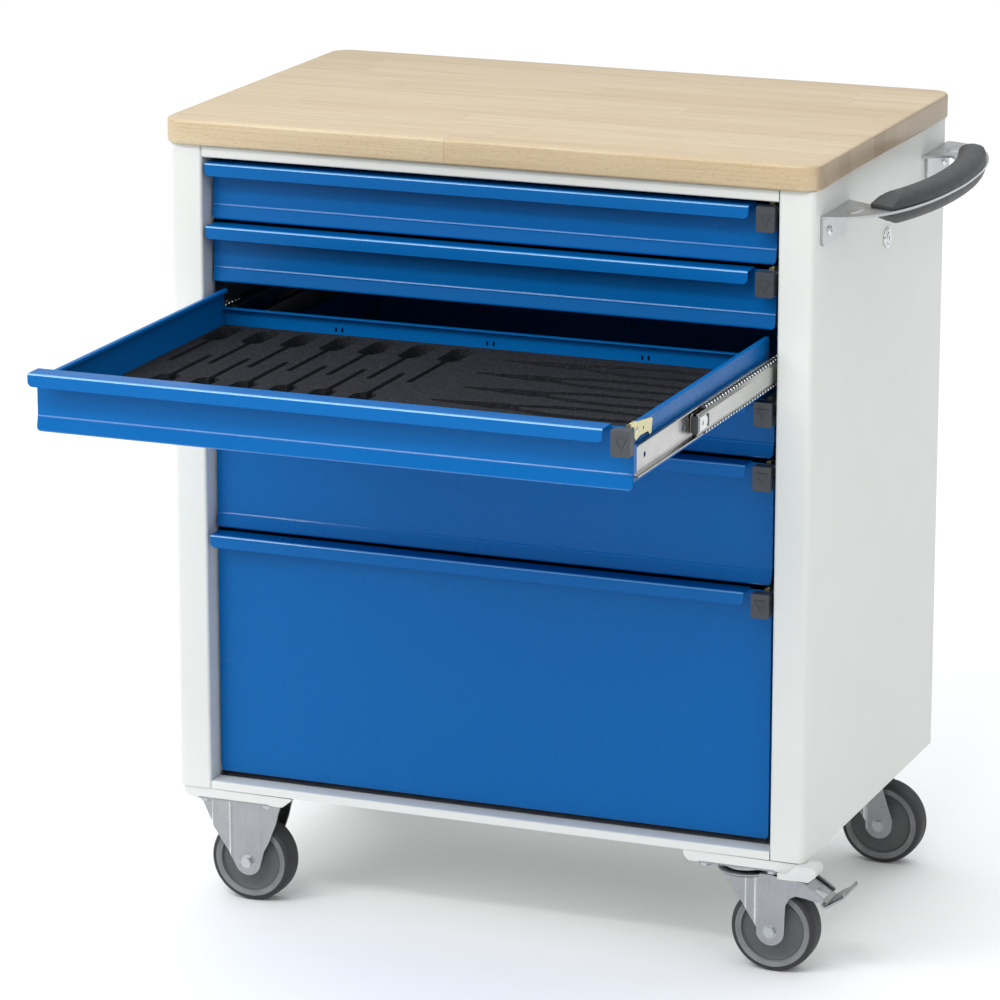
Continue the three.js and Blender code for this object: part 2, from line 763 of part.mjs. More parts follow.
// The bow's outer and inner edges run from the front foot to the middle and back, mirrored.
function handleOutline() {
  const [footFront, footBack] = HANDLE_FOOT;
  const shape = new THREE.Shape();
  const outer = [
    [8, footFront],
    [70, footFront + 14],
    [HANDLE_REACH - 2, 130],
    [HANDLE_REACH, HANDLE_MIDDLE],
  ];
  const inner = [
    [HANDLE_REACH - 36, HANDLE_MIDDLE],
    [HANDLE_REACH - 36, 185],
    [52, 140],
    [32, 108],
  ];
  const at = ([u, v]) => [handleX(u), v];
  const back = ([u, v]) => [handleX(u), mirrorY(v)];
  shape.moveTo(...at([GAP, footFront]));
  shape.lineTo(...at(outer[0]));
  shape.bezierCurveTo(...at(outer[1]), ...at(outer[2]), ...at(outer[3]));
  shape.bezierCurveTo(...back(outer[2]), ...back(outer[1]), ...back(outer[0]));
  shape.lineTo(...back([GAP, footFront]));
  shape.lineTo(...back([GAP, footBack]));
  shape.lineTo(...back(inner[3]));
  shape.bezierCurveTo(...back(inner[2]), ...back(inner[1]), ...back(inner[0]));
  shape.bezierCurveTo(...at(inner[1]), ...at(inner[2]), ...at(inner[3]));
  shape.lineTo(...at([GAP, footBack]));
  shape.closePath();
  return shape;
}

function handleBracket() {
  const bow = prism('z', handleOutline(), [HANDLE_Z, HANDLE_Z + HANDLE_SHEET], { curveSegments: 14 });
  const [tabFront, tabBack] = HANDLE_TAB;
  const tabs = [
    [tabFront, tabBack],
    [mirrorY(tabBack), mirrorY(tabFront)],
  ].map((y) =>
    box([handleX(GAP), handleX(GAP + HANDLE_SHEET)], y, [HANDLE_Z - HANDLE_TAB_HEIGHT, HANDLE_Z + OVERLAP]),
  );
  return join(bow, ...tabs);
}

// One half of the hand grip, above or below the bow, on the bow's centre line.
function gripShell(sign) {
  const line = new THREE.CatmullRomCurve3(
    [
      [50, 88],
      [65, 140],
      [75.5, 205],
      [78.5, HANDLE_MIDDLE],
      [75.5, mirrorY(205)],
      [65, mirrorY(140)],
      [50, mirrorY(88)],
    ].map(([u, v]) => new THREE.Vector3(handleX(u), v, 0)),
  );
  const flat = sign > 0 ? HANDLE_Z + HANDLE_SHEET + GAP : HANDLE_Z - GAP;
  const shape = new THREE.Shape();
  // the section's first axis points down and its second across the grip
  shape.moveTo(0, -GRIP_WIDTH / 2);
  const bulge = range(9).map((i) => (i * Math.PI) / 8 - Math.PI / 2);
  for (const angle of bulge.slice(1)) {
    shape.lineTo(-sign * GRIP_RISE * Math.cos(angle), (GRIP_WIDTH / 2) * Math.sin(angle));
  }
  const geometry = new THREE.ExtrudeGeometry(shape, {
    steps: 20,
    bevelEnabled: false,
    extrudePath: line,
  });
  return geometry.translate(0, 0, flat);
}

const LOCK_FACE = BODY_WIDTH + GAP;
const lockCylinder = (radius, span) => cylinder('x', radius, span, [LOCK_Y, LOCK_Z], 32);

function lockHousing() {
  const flange = lockCylinder(LOCK_FLANGE_R, [LOCK_FACE, LOCK_FACE + LOCK_FLANGE_THICKNESS]);
  const barrel = lockCylinder(LOCK_BARREL_R, [LOCK_FACE - LOCK_DEPTH, LOCK_FACE + OVERLAP]);
  const bore = lockCylinder(LOCK_PLUG_R + GAP, [LOCK_FACE - PLUG_DEPTH - 1, LOCK_FACE + LOCK_DEPTH]);
  return cut(join(flange, barrel), bore);
}

function lockPlug() {
  const plug = lockCylinder(LOCK_PLUG_R, [LOCK_FACE - PLUG_DEPTH, LOCK_FACE + PLUG_PROUD]);
  const [width, height] = KEYWAY;
  const keyway = box(
    [LOCK_FACE - PLUG_DEPTH / 2, LOCK_FACE + PLUG_PROUD + 1],
    [LOCK_Y - width / 2, LOCK_Y + width / 2],
    [LOCK_Z - height / 2, LOCK_Z + height / 2],
  );
  return cut(plug, keyway);
}

// ---------------------------------------------------------------- casters

// Casters are made round their own origin: on the floor under the plate's centre, with the
// wheel's axle along Y. +X is the way the wheel trails.

function wheel() {
  const [half, hub] = [WHEEL_WIDTH / 2, HUB_WIDTH / 2];
  const side = [
    [AXLE_R + GAP, -hub],
    [15, -hub],
    [16, -hub + 7],
    [36, -hub + 6],
    [40, -half + 1],
    [46, -half],
    [WHEEL_R - 2, -half + 2],
    [WHEEL_R, -half + 8],
  ];
  const mirrored = side.map(([r, y]) => [r, -y]).reverse();
  return turned([...side, ...mirrored], 32);
}

function axle() {
  const end = FORK_HALF + FORK_SHEET + GAP;
  const shaft = cylinder('y', AXLE_R, [-end - 0.5, end + 0.5], [0, 0], 16);
  const heads = [-1, 1].map((side) => {
    const span = [side * end, side * (end + 5)].sort((a, b) => a - b);
    return cylinder('y', 8, span, [0, 0], 6);
  });
  return join(shaft, ...heads);
}

const axleHole = (x) => cylinder('y', AXLE_R + GAP, [-40, 40], [x, WHEEL_R], 16);

function forkLeg(side, outline) {
  const inner = side * FORK_HALF;
  const outer = side * (FORK_HALF + FORK_SHEET);
  return prism('y', outline, [Math.min(inner, outer), Math.max(inner, outer)]);
}

function fixedFork() {
  const [length, width, thick] = PLATE;
  const top = PLATE_TOP - thick + OVERLAP;
  const half = length / 2;
  const shape = new THREE.Shape();
  shape.moveTo(-half, top);
  shape.lineTo(-half + 2, top - 10);
  shape.quadraticCurveTo(-half + 14, 92, FIXED_AXLE - FORK_TIP_R + 2, WHEEL_R - 8);
  shape.absarc(FIXED_AXLE, WHEEL_R, FORK_TIP_R, 1.1 * Math.PI, 1.92 * Math.PI);
  shape.quadraticCurveTo(half - 19, 90, half - 2, top - 8);
  shape.lineTo(half, top);
  shape.closePath();
  const legs = [-1, 1].map((side) => forkLeg(side, shape));
  const plate = box([-half, half], [-width / 2, width / 2], [PLATE_TOP - thick, PLATE_TOP]);
  return cut(join(plate, ...legs), axleHole(FIXED_AXLE));
}

const HEAD_TOP = 122; // top of a swivel fork's head
const HEAD_SHEET = 6;
const HEAD_R = 34;

function swivelPlate() {
  const [length, width, thick] = PLATE;
  const low = PLATE_TOP - thick;
  const plate = box([-length / 2, length / 2], [-width / 2, width / 2], [low, PLATE_TOP]);
  const race = cylinder('z', RACE_R, [HEAD_TOP + GAP, low + OVERLAP], [0, 0], 28);
  const [rivetR, rivetHeight] = RIVET;
  const headLow = HEAD_TOP - HEAD_SHEET;
  const kingpin = cylinder('z', KINGPIN_R, [headLow - rivetHeight, low], [0, 0], 16);
  const rivet = cylinder('z', rivetR, [headLow - rivetHeight, headLow - GAP], [0, 0], 16);
  return join(plate, race, kingpin, rivet);
}

function swivelLegShape(braked) {
  const axleX = SWIVEL_TRAIL;
  const shape = new THREE.Shape();
  shape.moveTo(-27, HEAD_TOP);
  shape.lineTo(axleX - FORK_TIP_R + 2, WHEEL_R - 9);
  shape.absarc(axleX, WHEEL_R, FORK_TIP_R, 1.2 * Math.PI, 2.02 * Math.PI);
  if (braked) {
    shape.lineTo(axleX + 14, 88);
    shape.quadraticCurveTo(axleX + 16, 99, axleX + 28, 99);
    shape.quadraticCurveTo(axleX + 42, 95, axleX + 62, 95);
    shape.lineTo(axleX + 66, 99);
    shape.lineTo(axleX + 38, 117);
    shape.lineTo(axleX + 10, HEAD_TOP - 2);
    shape.lineTo(axleX, HEAD_TOP);
  } else {
    shape.quadraticCurveTo(axleX + 10, 88, axleX - 2, HEAD_TOP);
  }
  shape.closePath();
  return shape;
}

function swivelFork(braked) {
  const shape = swivelLegShape(braked);
  const legs = [-1, 1].map((side) => forkLeg(side, shape));
  const head = [HEAD_TOP - HEAD_SHEET, HEAD_TOP];
  const web = box([-26, SWIVEL_TRAIL - 3], [-FORK_HALF - 1, FORK_HALF + 1], head);
  const dish = cylinder('z', HEAD_R, head, [0, 0], 28);
  const fork = join(...legs, web, dish);
  return cut(fork, cylinder('z', KINGPIN_R + GAP, [100, 140], [0, 0], 16), axleHole(SWIVEL_TRAIL));
}

// The brake pedal is made round its pin: a channel between the fork's arms and a tread plate.
function brakePedal() {
  const tread = prism(
    'y',
    [
      [28, -14],
      [31, -16],
      [55, 0],
      [53, 3.5],
      [50, 1],
      [28, -10.5],
    ].map(([x, z]) => new THREE.Vector2(x, z)),
    [-25, 25],
  );
  const channel = prism(
    'y',
    [
      [-6, -6],
      [6, -7],
      [33, -16],
      [33, -12],
      [6, 5],
      [-6, 5],
    ].map(([x, z]) => new THREE.Vector2(x, z)),
    [-FORK_HALF + 3, FORK_HALF - 3],
  );
  const hollow = box([-10, 27], [-FORK_HALF + 6, FORK_HALF - 6], [-20, -1]);
  const pin = cylinder('y', 3, [-FORK_HALF + GAP, FORK_HALF - GAP], [0, 0], 12);
  return join(cut(channel, hollow), tread, pin);
}

function at(x, y, z, ...children) {
  const group = new THREE.Group();
  group.position.set(x, y, z);
  for (const child of children) group.add(child);
  return group;
}

function wheelSet(name, axleX) {
  return at(
    axleX,
    0,
    WHEEL_R,
    mesh(`${name}_wheel`, wheel(), tyreRubber),
    mesh(`${name}_axle`, axle(), zinc),
  );
}

function fixedCaster(name, y) {
  return at(FIXED_X, y, 0, mesh(`${name}_fork`, fixedFork(), zinc), wheelSet(name, FIXED_AXLE));
}

function swivelCaster(name, y, braked) {
  const caster = at(
    SWIVEL_X,
    y,
    0,
    mesh(`${name}_plate`, swivelPlate(), zinc),
    mesh(`${name}_fork`, swivelFork(braked), zinc),
    wheelSet(name, SWIVEL_TRAIL),
  );
  if (braked) caster.add(at(BRAKE_REACH, 0, BRAKE_RISE, mesh(`${name}_brake_pedal`, brakePedal(), zinc)));
  return caster;
}

// ---------------------------------------------------------------- assembly

const bench = new THREE.Group();

bench.add(
  mesh('worktop', worktop(), beech),
  mesh('left_side_panel', leftSidePanel(), greyPaint),
  mesh('right_side_panel', rightSidePanel(), greyPaint),
  mesh('rear_panel', rearPanel(), greyPaint),
  mesh('base_panel', basePanel(), greyPaint),
  mesh('front_top_rail', frontTopRail(), greyPaint),
  mesh('front_bottom_rail', frontBottomRail(), greyPaint),
  mesh('caster_beam_left', casterBeam(BEAM_INSET), greyPaint),
  mesh('caster_beam_right', casterBeam(BODY_WIDTH - BEAM_INSET - BEAM_WIDTH), greyPaint),
  mesh('corner_bumper', cornerBumper(), lightPlastic),
  mesh('runner_rack_left', runnerRack(LEFT_SLIDE, BODY_SHEET + GAP, drawers), zinc),
  mesh('runner_rack_right', runnerRack(RIGHT_SLIDE, rightX(BODY_SHEET + GAP), drawers), zinc),
  mesh('handle_bracket', handleBracket(), zinc),
  mesh('handle_grip_upper', gripShell(1), darkPlastic),
  mesh('handle_grip_lower', gripShell(-1), darkPlastic),
  mesh('lock_housing', lockHousing(), chrome),
  mesh('lock_plug', lockPlug(), chrome),
);

for (const drawer of drawers) {
  const { number, open } = drawer;
  const pulled = open ? -DRAWER_TRAVEL : 0;
  const moving = at(0, pulled, 0);
  if (open) {
    moving.add(
      mesh(`drawer_${number}_tray`, tray(drawer), bluePaint),
      mesh(`drawer_${number}_rail_left`, drawerRail(LEFT_SLIDE, drawer), zinc),
      mesh(`drawer_${number}_rail_right`, drawerRail(RIGHT_SLIDE, drawer), zinc),
      mesh(`drawer_${number}_latch`, latchBlock(drawer), darkPlastic),
      mesh(`drawer_${number}_latch_lever`, latchLever(drawer, STEM_END + GAP), yellowZinc),
      mesh(`drawer_${number}_foam_insert`, foamInsert(drawer), foamBlack),
    );
  } else {
    moving.add(
      mesh(`drawer_${number}_tray`, trayWithRails(drawer), bluePaint),
      mesh(`drawer_${number}_latch`, latch(drawer), darkPlastic),
    );
  }
  const z = slideZ(drawer);
  const span = [SLIDE_FRONT + 2, SLIDE_REAR];
  const following = at(
    0,
    pulled * MIDDLE_RATIO,
    0,
    mesh(`drawer_${number}_middle_left`, middleRail(LEFT_SLIDE.middle, z, span), zinc),
    mesh(`drawer_${number}_middle_right`, middleRail(RIGHT_SLIDE.middle, z, span), zinc),
  );
  bench.add(moving, following);
}

bench.add(
  fixedCaster('caster_front_left', CASTER_INSET_Y),
  fixedCaster('caster_rear_left', BODY_DEPTH - CASTER_INSET_Y),
  swivelCaster('caster_front_right', CASTER_INSET_Y, true),
  swivelCaster('caster_rear_right', BODY_DEPTH - CASTER_INSET_Y, false),
);

// The origin is on the floor under the middle of the whole object's box.
bench.updateMatrixWorld(true);
const extent = new THREE.Box3().setFromObject(bench);
const centre = extent.getCenter(new THREE.Vector3());
bench.position.set(-centre.x, -centre.y, -extent.min.z);

const workbench = new THREE.Group();
workbench.add(bench);

export default workbench;
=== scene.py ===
# Looks of a mobile workbench with six blue drawers, the third one open.
# Pieces are made in millimetres from the bench's left front corner on the floor (X right, Y back,
# Z up) and placed in the row frame, in metres, by place().
import math

import bmesh
import bpy
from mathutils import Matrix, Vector


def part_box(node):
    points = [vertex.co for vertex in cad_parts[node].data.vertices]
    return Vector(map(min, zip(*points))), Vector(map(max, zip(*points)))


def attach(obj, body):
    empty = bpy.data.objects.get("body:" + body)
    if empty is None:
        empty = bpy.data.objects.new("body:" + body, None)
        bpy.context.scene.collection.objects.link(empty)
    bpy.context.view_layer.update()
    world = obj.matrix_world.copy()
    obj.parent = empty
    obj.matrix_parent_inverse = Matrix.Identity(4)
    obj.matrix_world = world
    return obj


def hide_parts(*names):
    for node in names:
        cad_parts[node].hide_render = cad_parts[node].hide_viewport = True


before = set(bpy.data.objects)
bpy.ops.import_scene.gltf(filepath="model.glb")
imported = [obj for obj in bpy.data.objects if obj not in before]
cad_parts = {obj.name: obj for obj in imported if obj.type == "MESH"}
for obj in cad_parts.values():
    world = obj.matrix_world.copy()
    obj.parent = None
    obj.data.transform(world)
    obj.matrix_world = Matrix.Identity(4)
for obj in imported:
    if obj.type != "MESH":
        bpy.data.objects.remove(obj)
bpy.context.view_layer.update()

MM = 0.001
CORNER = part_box("left_side_panel")[0]  # left front corner of the body

# ---- driving dimensions, mm

BODY_WIDTH = 795
BODY_DEPTH = 500
BODY_BOTTOM = 146
BODY_TOP = 935
GAP = 0.3
SHEET = 2
THIN_SHEET = 1.5
POST_WIDTH = 42
POST_RETURN = 28
WORKTOP_OVERHANG = (6, 8)
WORKTOP_CORNER = 25
WORKTOP_EDGE = 3.6
UNDERSIDE = BODY_BOTTOM - GAP
BASE = (BODY_BOTTOM + GAP, BODY_BOTTOM + GAP + SHEET)
INSIDE = BASE[1] + GAP
BEAM_WIDTH = 138
BEAM_INSET = 8
RACK_Y = (32, 430)
RACK_WIDTH = 30
RACK_HOLE_PITCH = 25

FRONT_X = (45, 743)
GRIP_X = (46, 717)
GRIP_HEIGHT = 15
LATCH_X = (726, 748)
LEVER_X = (739, 741)
TRAY_LEFT = 58
TRAY_RIGHT = 737
TRAY_FRONT = 26
TRAY_REAR = 481
FOAM_THICKNESS = 20
DIVIDER_PITCH = 190.7
DIVIDER_SPACING = 8
SLIDE_DROP = 41.5
SLIDE_HEIGHT = 35
SLIDE_REACH = 0.4
SLIDE_OUTER = 15.2
FRONT_SETBACK = 25
SKIRT_HEIGHT = 17

WHEEL_R = 52
FIXED_AXLE = 10  # ahead of the plate's centre
SWIVEL_TRAIL = 37
FORK_HALF = 20  # from the wheel's middle to the leg's inner face
PLATE_TOP = 134.7
HEAD_TOP = 122

HANDLE_Z = 900.5
HANDLE_SHEET = 3
HANDLE_MIDDLE = 265
HANDLE_GRIP_REACH = 177  # from the middle to the grip's ends
LOCK = (270, 831)

CAMERA_AT = (2488.75, -5167.1, 2028.2)
CAMERA_TURN = (75.07, 0, 21.84)  # degrees
CAMERA_LENS = 178.9
FLOOR_REACH = 30  # metres


def place(point, shift=(0, 0, 0)):
    """A point in bench millimetres, in the row frame."""
    x, y, z = (p + s for p, s in zip(point, shift))
    return (CORNER.x + x * MM, CORNER.y + y * MM, z * MM)


def right_x(x):
    return BODY_WIDTH - x


# ---- camera, floor and light


def aim(obj, target):
    obj.rotation_euler = (Vector(target) - obj.location).to_track_quat("-Z", "Y").to_euler()


def make_camera():
    data = bpy.data.cameras.new("camera")
    data.sensor_width = 36
    data.lens = CAMERA_LENS
    camera = bpy.data.objects.new("camera", data)
    bpy.context.scene.collection.objects.link(camera)
    camera.location = place(CAMERA_AT)
    camera.rotation_euler = [math.radians(turn) for turn in CAMERA_TURN]
    bpy.context.scene.camera = camera


def area_light(name, location, target, size, watts):
    data = bpy.data.lights.new(name, "AREA")
    data.shape = "RECTANGLE"
    data.size, data.size_y = size
    data.energy = watts
    light = bpy.data.objects.new(name, data)
    bpy.context.scene.collection.objects.link(light)
    light.location = location
    aim(light, target)


def make_world():
    """A sky that is bright overhead, dimmer towards the horizon and a little brighter on the left."""
    world = bpy.data.worlds.new("studio")
    world.use_nodes = True
    tree = world.node_tree
    coords = tree.nodes.new("ShaderNodeTexCoord")
    split = tree.nodes.new("ShaderNodeSeparateXYZ")
    tree.links.new(coords.outputs["Generated"], split.inputs[0])
    parts = []
    for axis, low, at_low, at_high in (("Z", 0, 0.34, 1.54), ("X", -1, 1.18, 0.78)):
        ramp = tree.nodes.new("ShaderNodeMapRange")
        ramp.inputs["From Min"].default_value = low
        ramp.inputs["To Min"].default_value = at_low
        ramp.inputs["To Max"].default_value = at_high
        tree.links.new(split.outputs[axis], ramp.inputs["Value"])
        parts.append(ramp.outputs["Result"])
    product = tree.nodes.new("ShaderNodeMath")
    product.operation = "MULTIPLY"
    for socket, part in zip(product.inputs, parts):
        tree.links.new(part, socket)
    background = tree.nodes["Background"]
    background.inputs["Color"].default_value = (0.97, 0.985, 1.0, 1)
    tree.links.new(product.outputs[0], background.inputs["Strength"])
    bpy.context.scene.world = world


def make_floor():
    mesh = bpy.data.meshes.new("floor")
    reach = FLOOR_REACH
    corners = [(-reach, -reach, 0), (reach, -reach, 0), (reach, reach, 0), (-reach, reach, 0)]
    mesh.from_pydata(corners, [], [(0, 1, 2, 3)])
    mesh.materials.append(floor_material())
    floor = bpy.data.objects.new("floor", mesh)
    bpy.context.scene.collection.objects.link(floor)


def make_stage():
    bpy.context.scene.view_settings.view_transform = "Standard"
    make_world()
    middle = (0, 0, 0.55)
    area_light("key", (-3.0, -3.9, 3.0), middle, (2.2, 1.8), 62)
    area_light("fill", (3.8, -2.2, 2.0), middle, (2.0, 2.0), 14)
    area_light("strip", (-0.4, -2.4, 3.0), middle, (2.8, 0.3), 40)
    make_floor()


# ---- node helpers


def srgb(r, g, b):
    """8-bit sRGB to the linear colour that a shader takes."""

    def linear(v):
        v /= 255
        return v / 12.92 if v <= 0.04045 else ((v + 0.055) / 1.055) ** 2.4

    return (linear(r), linear(g), linear(b), 1)


class Shader:
    """A material with one Principled shader, and short ways to add nodes in front of it."""

    def __init__(self, name, roughness=0.5, metallic=0.0, **inputs):
        self.material = bpy.data.materials.new(name)
        self.material.use_nodes = True
        self.tree = self.material.node_tree
        self.shader = self.tree.nodes["Principled BSDF"]
        self.shader.inputs["Roughness"].default_value = roughness
        self.shader.inputs["Metallic"].default_value = metallic
        for key, value in inputs.items():
            self.shader.inputs[key.replace("_", " ")].default_value = value
        self.coords = self.tree.nodes.new("ShaderNodeTexCoord").outputs

    def add(self, kind, inputs=None, out=0, **settings):
        node = self.tree.nodes.new("ShaderNode" + kind)
        for key, value in settings.items():
            setattr(node, key, value)
        for key, value in (inputs or {}).items():
            self.set(node.inputs[key], value)
        return node.outputs[out]

    def set(self, socket, value):
        if isinstance(value, bpy.types.NodeSocket):
            self.tree.links.new(value, socket)
        else:
            socket.default_value = value

    def maths(self, operation, *values):
        return self.add("Math", dict(enumerate(values)), operation=operation)

    def scaled(self, vector, scale):
        return self.add("VectorMath", {0: vector, 1: scale}, operation="MULTIPLY")

    def split(self, vector):
        node = self.tree.nodes.new("ShaderNodeSeparateXYZ")
        self.tree.links.new(vector, node.inputs[0])
        return node.outputs

    def join(self, x, y, z):
        return self.add("CombineXYZ", {0: x, 1: y, 2: z})

    def noise(self, scale, detail=2.0, vector=None, roughness=0.5):
        vector = self.coords["Object"] if vector is None else vector
        inputs = {"Vector": vector, "Scale": scale, "Detail": detail, "Roughness": roughness}
        return self.add("TexNoise", inputs)

    def between(self, value, low, high, to_low=0.0, to_high=1.0):
        inputs = {0: value, 1: low, 2: high, 3: to_low, 4: to_high}
        return self.add("MapRange", inputs)

    def mix(self, factor, a, b):
        node = self.tree.nodes.new("ShaderNodeMix")
        node.data_type = "RGBA"
        for key, value in (("Factor", factor), ("A", a), ("B", b)):
            sockets = [s for s in node.inputs if s.name == key and s.type in ("VALUE", "RGBA")]
            self.set(sockets[0] if key == "Factor" else sockets[-1], value)
        return [s for s in node.outputs if s.type == "RGBA"][0]

    def toned(self, factor, colour, low, high):
        """A colour between a darker and a lighter tone of itself."""
        return self.mix(factor, shade(colour, low), shade(colour, high))

    def colour(self, value):
        self.set(self.shader.inputs["Base Color"], value)

    def rough(self, value, at_low, at_high, low=0.3, high=0.7):
        """Roughness from at_low to at_high as the value goes from low to high."""
        self.set(self.shader.inputs["Roughness"], self.between(value, low, high, at_low, at_high))

    def bump(self, height, distance, strength=1.0, after=None):
        inputs = {"Height": height, "Distance": distance, "Strength": strength}
        if after is not None:
            inputs["Normal"] = after
        normal = self.add("Bump", inputs)
        self.set(self.shader.inputs["Normal"], normal)
        return normal


def shade(colour, factor):
    return tuple(c * factor for c in colour[:3]) + (1,)


# ---- materials


def floor_material():
    s = Shader("floor_white", roughness=0.7)
    broad = s.noise(0.6, 3)
    s.colour(s.mix(broad, (0.92, 0.92, 0.92, 1), (0.94, 0.94, 0.94, 1)))
    s.bump(s.noise(60, 3), 0.0004, 0.2)
    return s.material


def powder_coat(name, colour, roughness, peel, grain, gloss):
    """Sprayed and baked paint: orange peel, a fine grain and faintly cloudy thickness."""
    s = Shader(name, roughness, Specular_IOR_Level=gloss)
    cloud = s.noise(2.2, 4)
    speck = s.noise(560, 2, roughness=0.7)
    base = s.toned(cloud, colour, 0.96, 1.04)
    s.colour(s.mix(s.between(speck, 0.34, 0.68, 0, grain), base, shade(colour, 1.6)))
    s.rough(s.noise(18, 4), roughness - 0.05, roughness + 0.07)
    fine = s.bump(s.noise(900, 2), 0.00012, peel)
    s.bump(s.noise(150, 3), 0.0002, peel * 0.5, after=fine)
    return s.material


def beech_material(board):
    """Edge-glued beech strips along X, with rays, pores, faint growth lines and end grain."""
    s = Shader("beech", 0.42, Coat_Weight=0.25, Coat_Roughness=0.22)
    strip_width, strip_length = 0.043, 0.62
    x, y, z = s.split(s.coords["Object"])[:3]
    row = s.maths("FLOOR", s.maths("DIVIDE", y, strip_width))
    row_noise = s.add("TexWhiteNoise", {"W": row}, noise_dimensions="1D")
    slid = s.maths("ADD", s.maths("DIVIDE", x, strip_length), s.maths("MULTIPLY", row_noise, 7.0))
    column = s.maths("FLOOR", slid)
    strip = s.join(row, column, 0.0)
    tone = s.add("TexWhiteNoise", {"Vector": strip}, noise_dimensions="3D")
    tint = s.add("TexWhiteNoise", {"Vector": s.join(column, row, 3.7)}, noise_dimensions="3D")
    offset = s.scaled(s.join(tone, tint, row_noise), (31.0, 17.0, 5.0))
    moved = s.add("VectorMath", {0: s.coords["Object"], 1: offset}, operation="ADD")
    light, middle, warm = srgb(203, 186, 154), srgb(195, 176, 142), srgb(187, 164, 128)
    base = s.mix(s.between(tone, 0, 1, 0.0, 0.85), light, middle)
    base = s.mix(s.between(tint, 0.45, 1, 0.0, 0.55), base, warm)
    bands = s.noise(1.0, 3, s.scaled(moved, (1.6, 34, 34)), 0.55)
    base = s.mix(s.between(bands, 0.42, 0.68, 0, 0.42), base, srgb(178, 149, 110))
    lines = s.noise(1.0, 2, s.scaled(moved, (7, 420, 420)))
    base = s.mix(s.between(lines, 0.5, 0.72, 0, 0.34), base, srgb(166, 135, 97))
    flecks = s.noise(1.0, 1, s.scaled(moved, (210, 1900, 1900)))
    base = s.mix(s.between(flecks, 0.6, 0.74, 0, 0.5), base, srgb(138, 98, 62))
    # the ends of the strips show their growth rings, darker because they take up more oil
    hearts = s.scaled(s.join(0.0, tone, tint), (0.0, 0.12, -0.2))
    ringed = s.add("VectorMath", {0: s.join(0.0, y, z), 1: hearts}, operation="ADD")
    far = s.add("VectorMath", {0: ringed, 1: (0, 0.05, board - 0.3)}, out=1, operation="DISTANCE")
    wobble = s.maths("MULTIPLY", s.noise(60, 2), 0.0016)
    rings = s.maths("SINE", s.maths("MULTIPLY", s.maths("ADD", far, wobble), 1900.0))
    end = s.mix(s.between(rings, -1, 1, 0.1, 0.5), srgb(160, 140, 114), srgb(136, 113, 86))
    end = s.mix(s.between(row_noise, 0, 1, 0, 0.55), end, srgb(178, 160, 134))
    facing = s.maths("ABSOLUTE", s.split(s.coords["Normal"])[0])
    base = s.mix(s.between(facing, 0.75, 0.92), base, end)
    # glue lines between the strips
    across, along = (
        s.maths("ABSOLUTE", s.maths("SUBTRACT", s.maths("FRACT", value), 0.5))
        for value in (s.maths("DIVIDE", y, strip_width), slid)
    )
    seam = s.maths("MAXIMUM", s.between(across, 0.486, 0.499), s.between(along, 0.4988, 0.4998))
    base = s.mix(s.maths("MULTIPLY", seam, 0.35), base, srgb(130, 98, 64))
    s.colour(base)
    s.rough(lines, 0.36, 0.5, high=0.75)
    grain = s.bump(lines, 0.00012, 0.35)
    s.bump(s.maths("MULTIPLY", seam, -1.0), 0.0002, 0.4, after=grain)
    return s.material


def zinc_material(name, colour, roughness, brushed):
    """Bright zinc plate over rolled steel: soft clouds and fine drawing lines."""
    s = Shader(name, roughness, metallic=1.0)
    cloud = s.noise(38, 3)
    lines = s.noise(1.0, 2, s.scaled(s.coords["Object"], brushed))
    spangle = s.noise(520, 3, roughness=0.7)
    base = s.toned(s.between(cloud, 0.35, 0.65), colour, 0.95, 1.04)
    base = s.mix(s.between(spangle, 0.4, 0.7, 0, 0.5), base, shade(colour, 1.35))
    s.colour(s.mix(s.between(lines, 0.55, 0.8, 0, 0.35), base, shade(colour, 0.7)))
    s.rough(s.noise(30, 3), roughness - 0.04, roughness + 0.05)
    s.bump(lines, 0.00006, 0.3)
    return s.material


def yellow_zinc_material():
    """Yellow passivation with the greenish and rosy clouds it shows in the light."""
    s = Shader("yellow_zinc", 0.32, metallic=0.9)
    cloud = s.noise(70, 3)
    rosy = s.noise(34, 2)
    base = s.mix(s.between(cloud, 0.3, 0.7), srgb(222, 210, 164), srgb(200, 198, 150))
    s.colour(s.mix(s.between(rosy, 0.55, 0.8, 0, 0.5), base, srgb(214, 182, 148)))
    s.bump(s.noise(600, 2), 0.00006, 0.4)
    return s.material


def chrome_material():
    s = Shader("chrome", 0.12, metallic=1.0)
    smear = s.noise(40, 4)
    s.colour(s.mix(smear, srgb(196, 198, 200), srgb(232, 233, 234)))
    s.rough(smear, 0.08, 0.22)
    s.bump(s.noise(500, 2), 0.00004, 0.3)
    return s.material


def plastic_material(name, colour, roughness, grain):
    """Moulded plastic with spark-eroded grain and lighter rub marks."""
    s = Shader(name, roughness)
    cloud = s.noise(14, 4)
    rub = s.noise(1.0, 3, s.scaled(s.coords["Object"], (60, 60, 260)))
    base = s.toned(cloud, colour, 0.85, 1.15)
    s.colour(s.mix(s.between(rub, 0.6, 0.82, 0, 0.35), base, shade(colour, 1.6)))
    s.rough(s.noise(90, 3), roughness - 0.06, roughness + 0.08)
    s.bump(s.add("TexVoronoi", {"Vector": s.coords["Object"], "Scale": 1500.0}), 0.00012, grain)
    return s.material


def rubber_material(name, colour):
    """Grey tread rubber: fine flash lines round the tread, dust, and a matte skin."""
    s = Shader(name, 0.62)
    dust = s.noise(30, 5, roughness=0.65)
    speck = s.noise(700, 2)
    base = s.toned(s.between(dust, 0.35, 0.7), colour, 0.8, 1.2)
    s.colour(s.mix(s.between(speck, 0.55, 0.75, 0, 0.4), base, shade(colour, 1.5)))
    s.rough(dust, 0.5, 0.74)
    s.bump(s.noise(900, 3), 0.00015, 0.5)
    return s.material


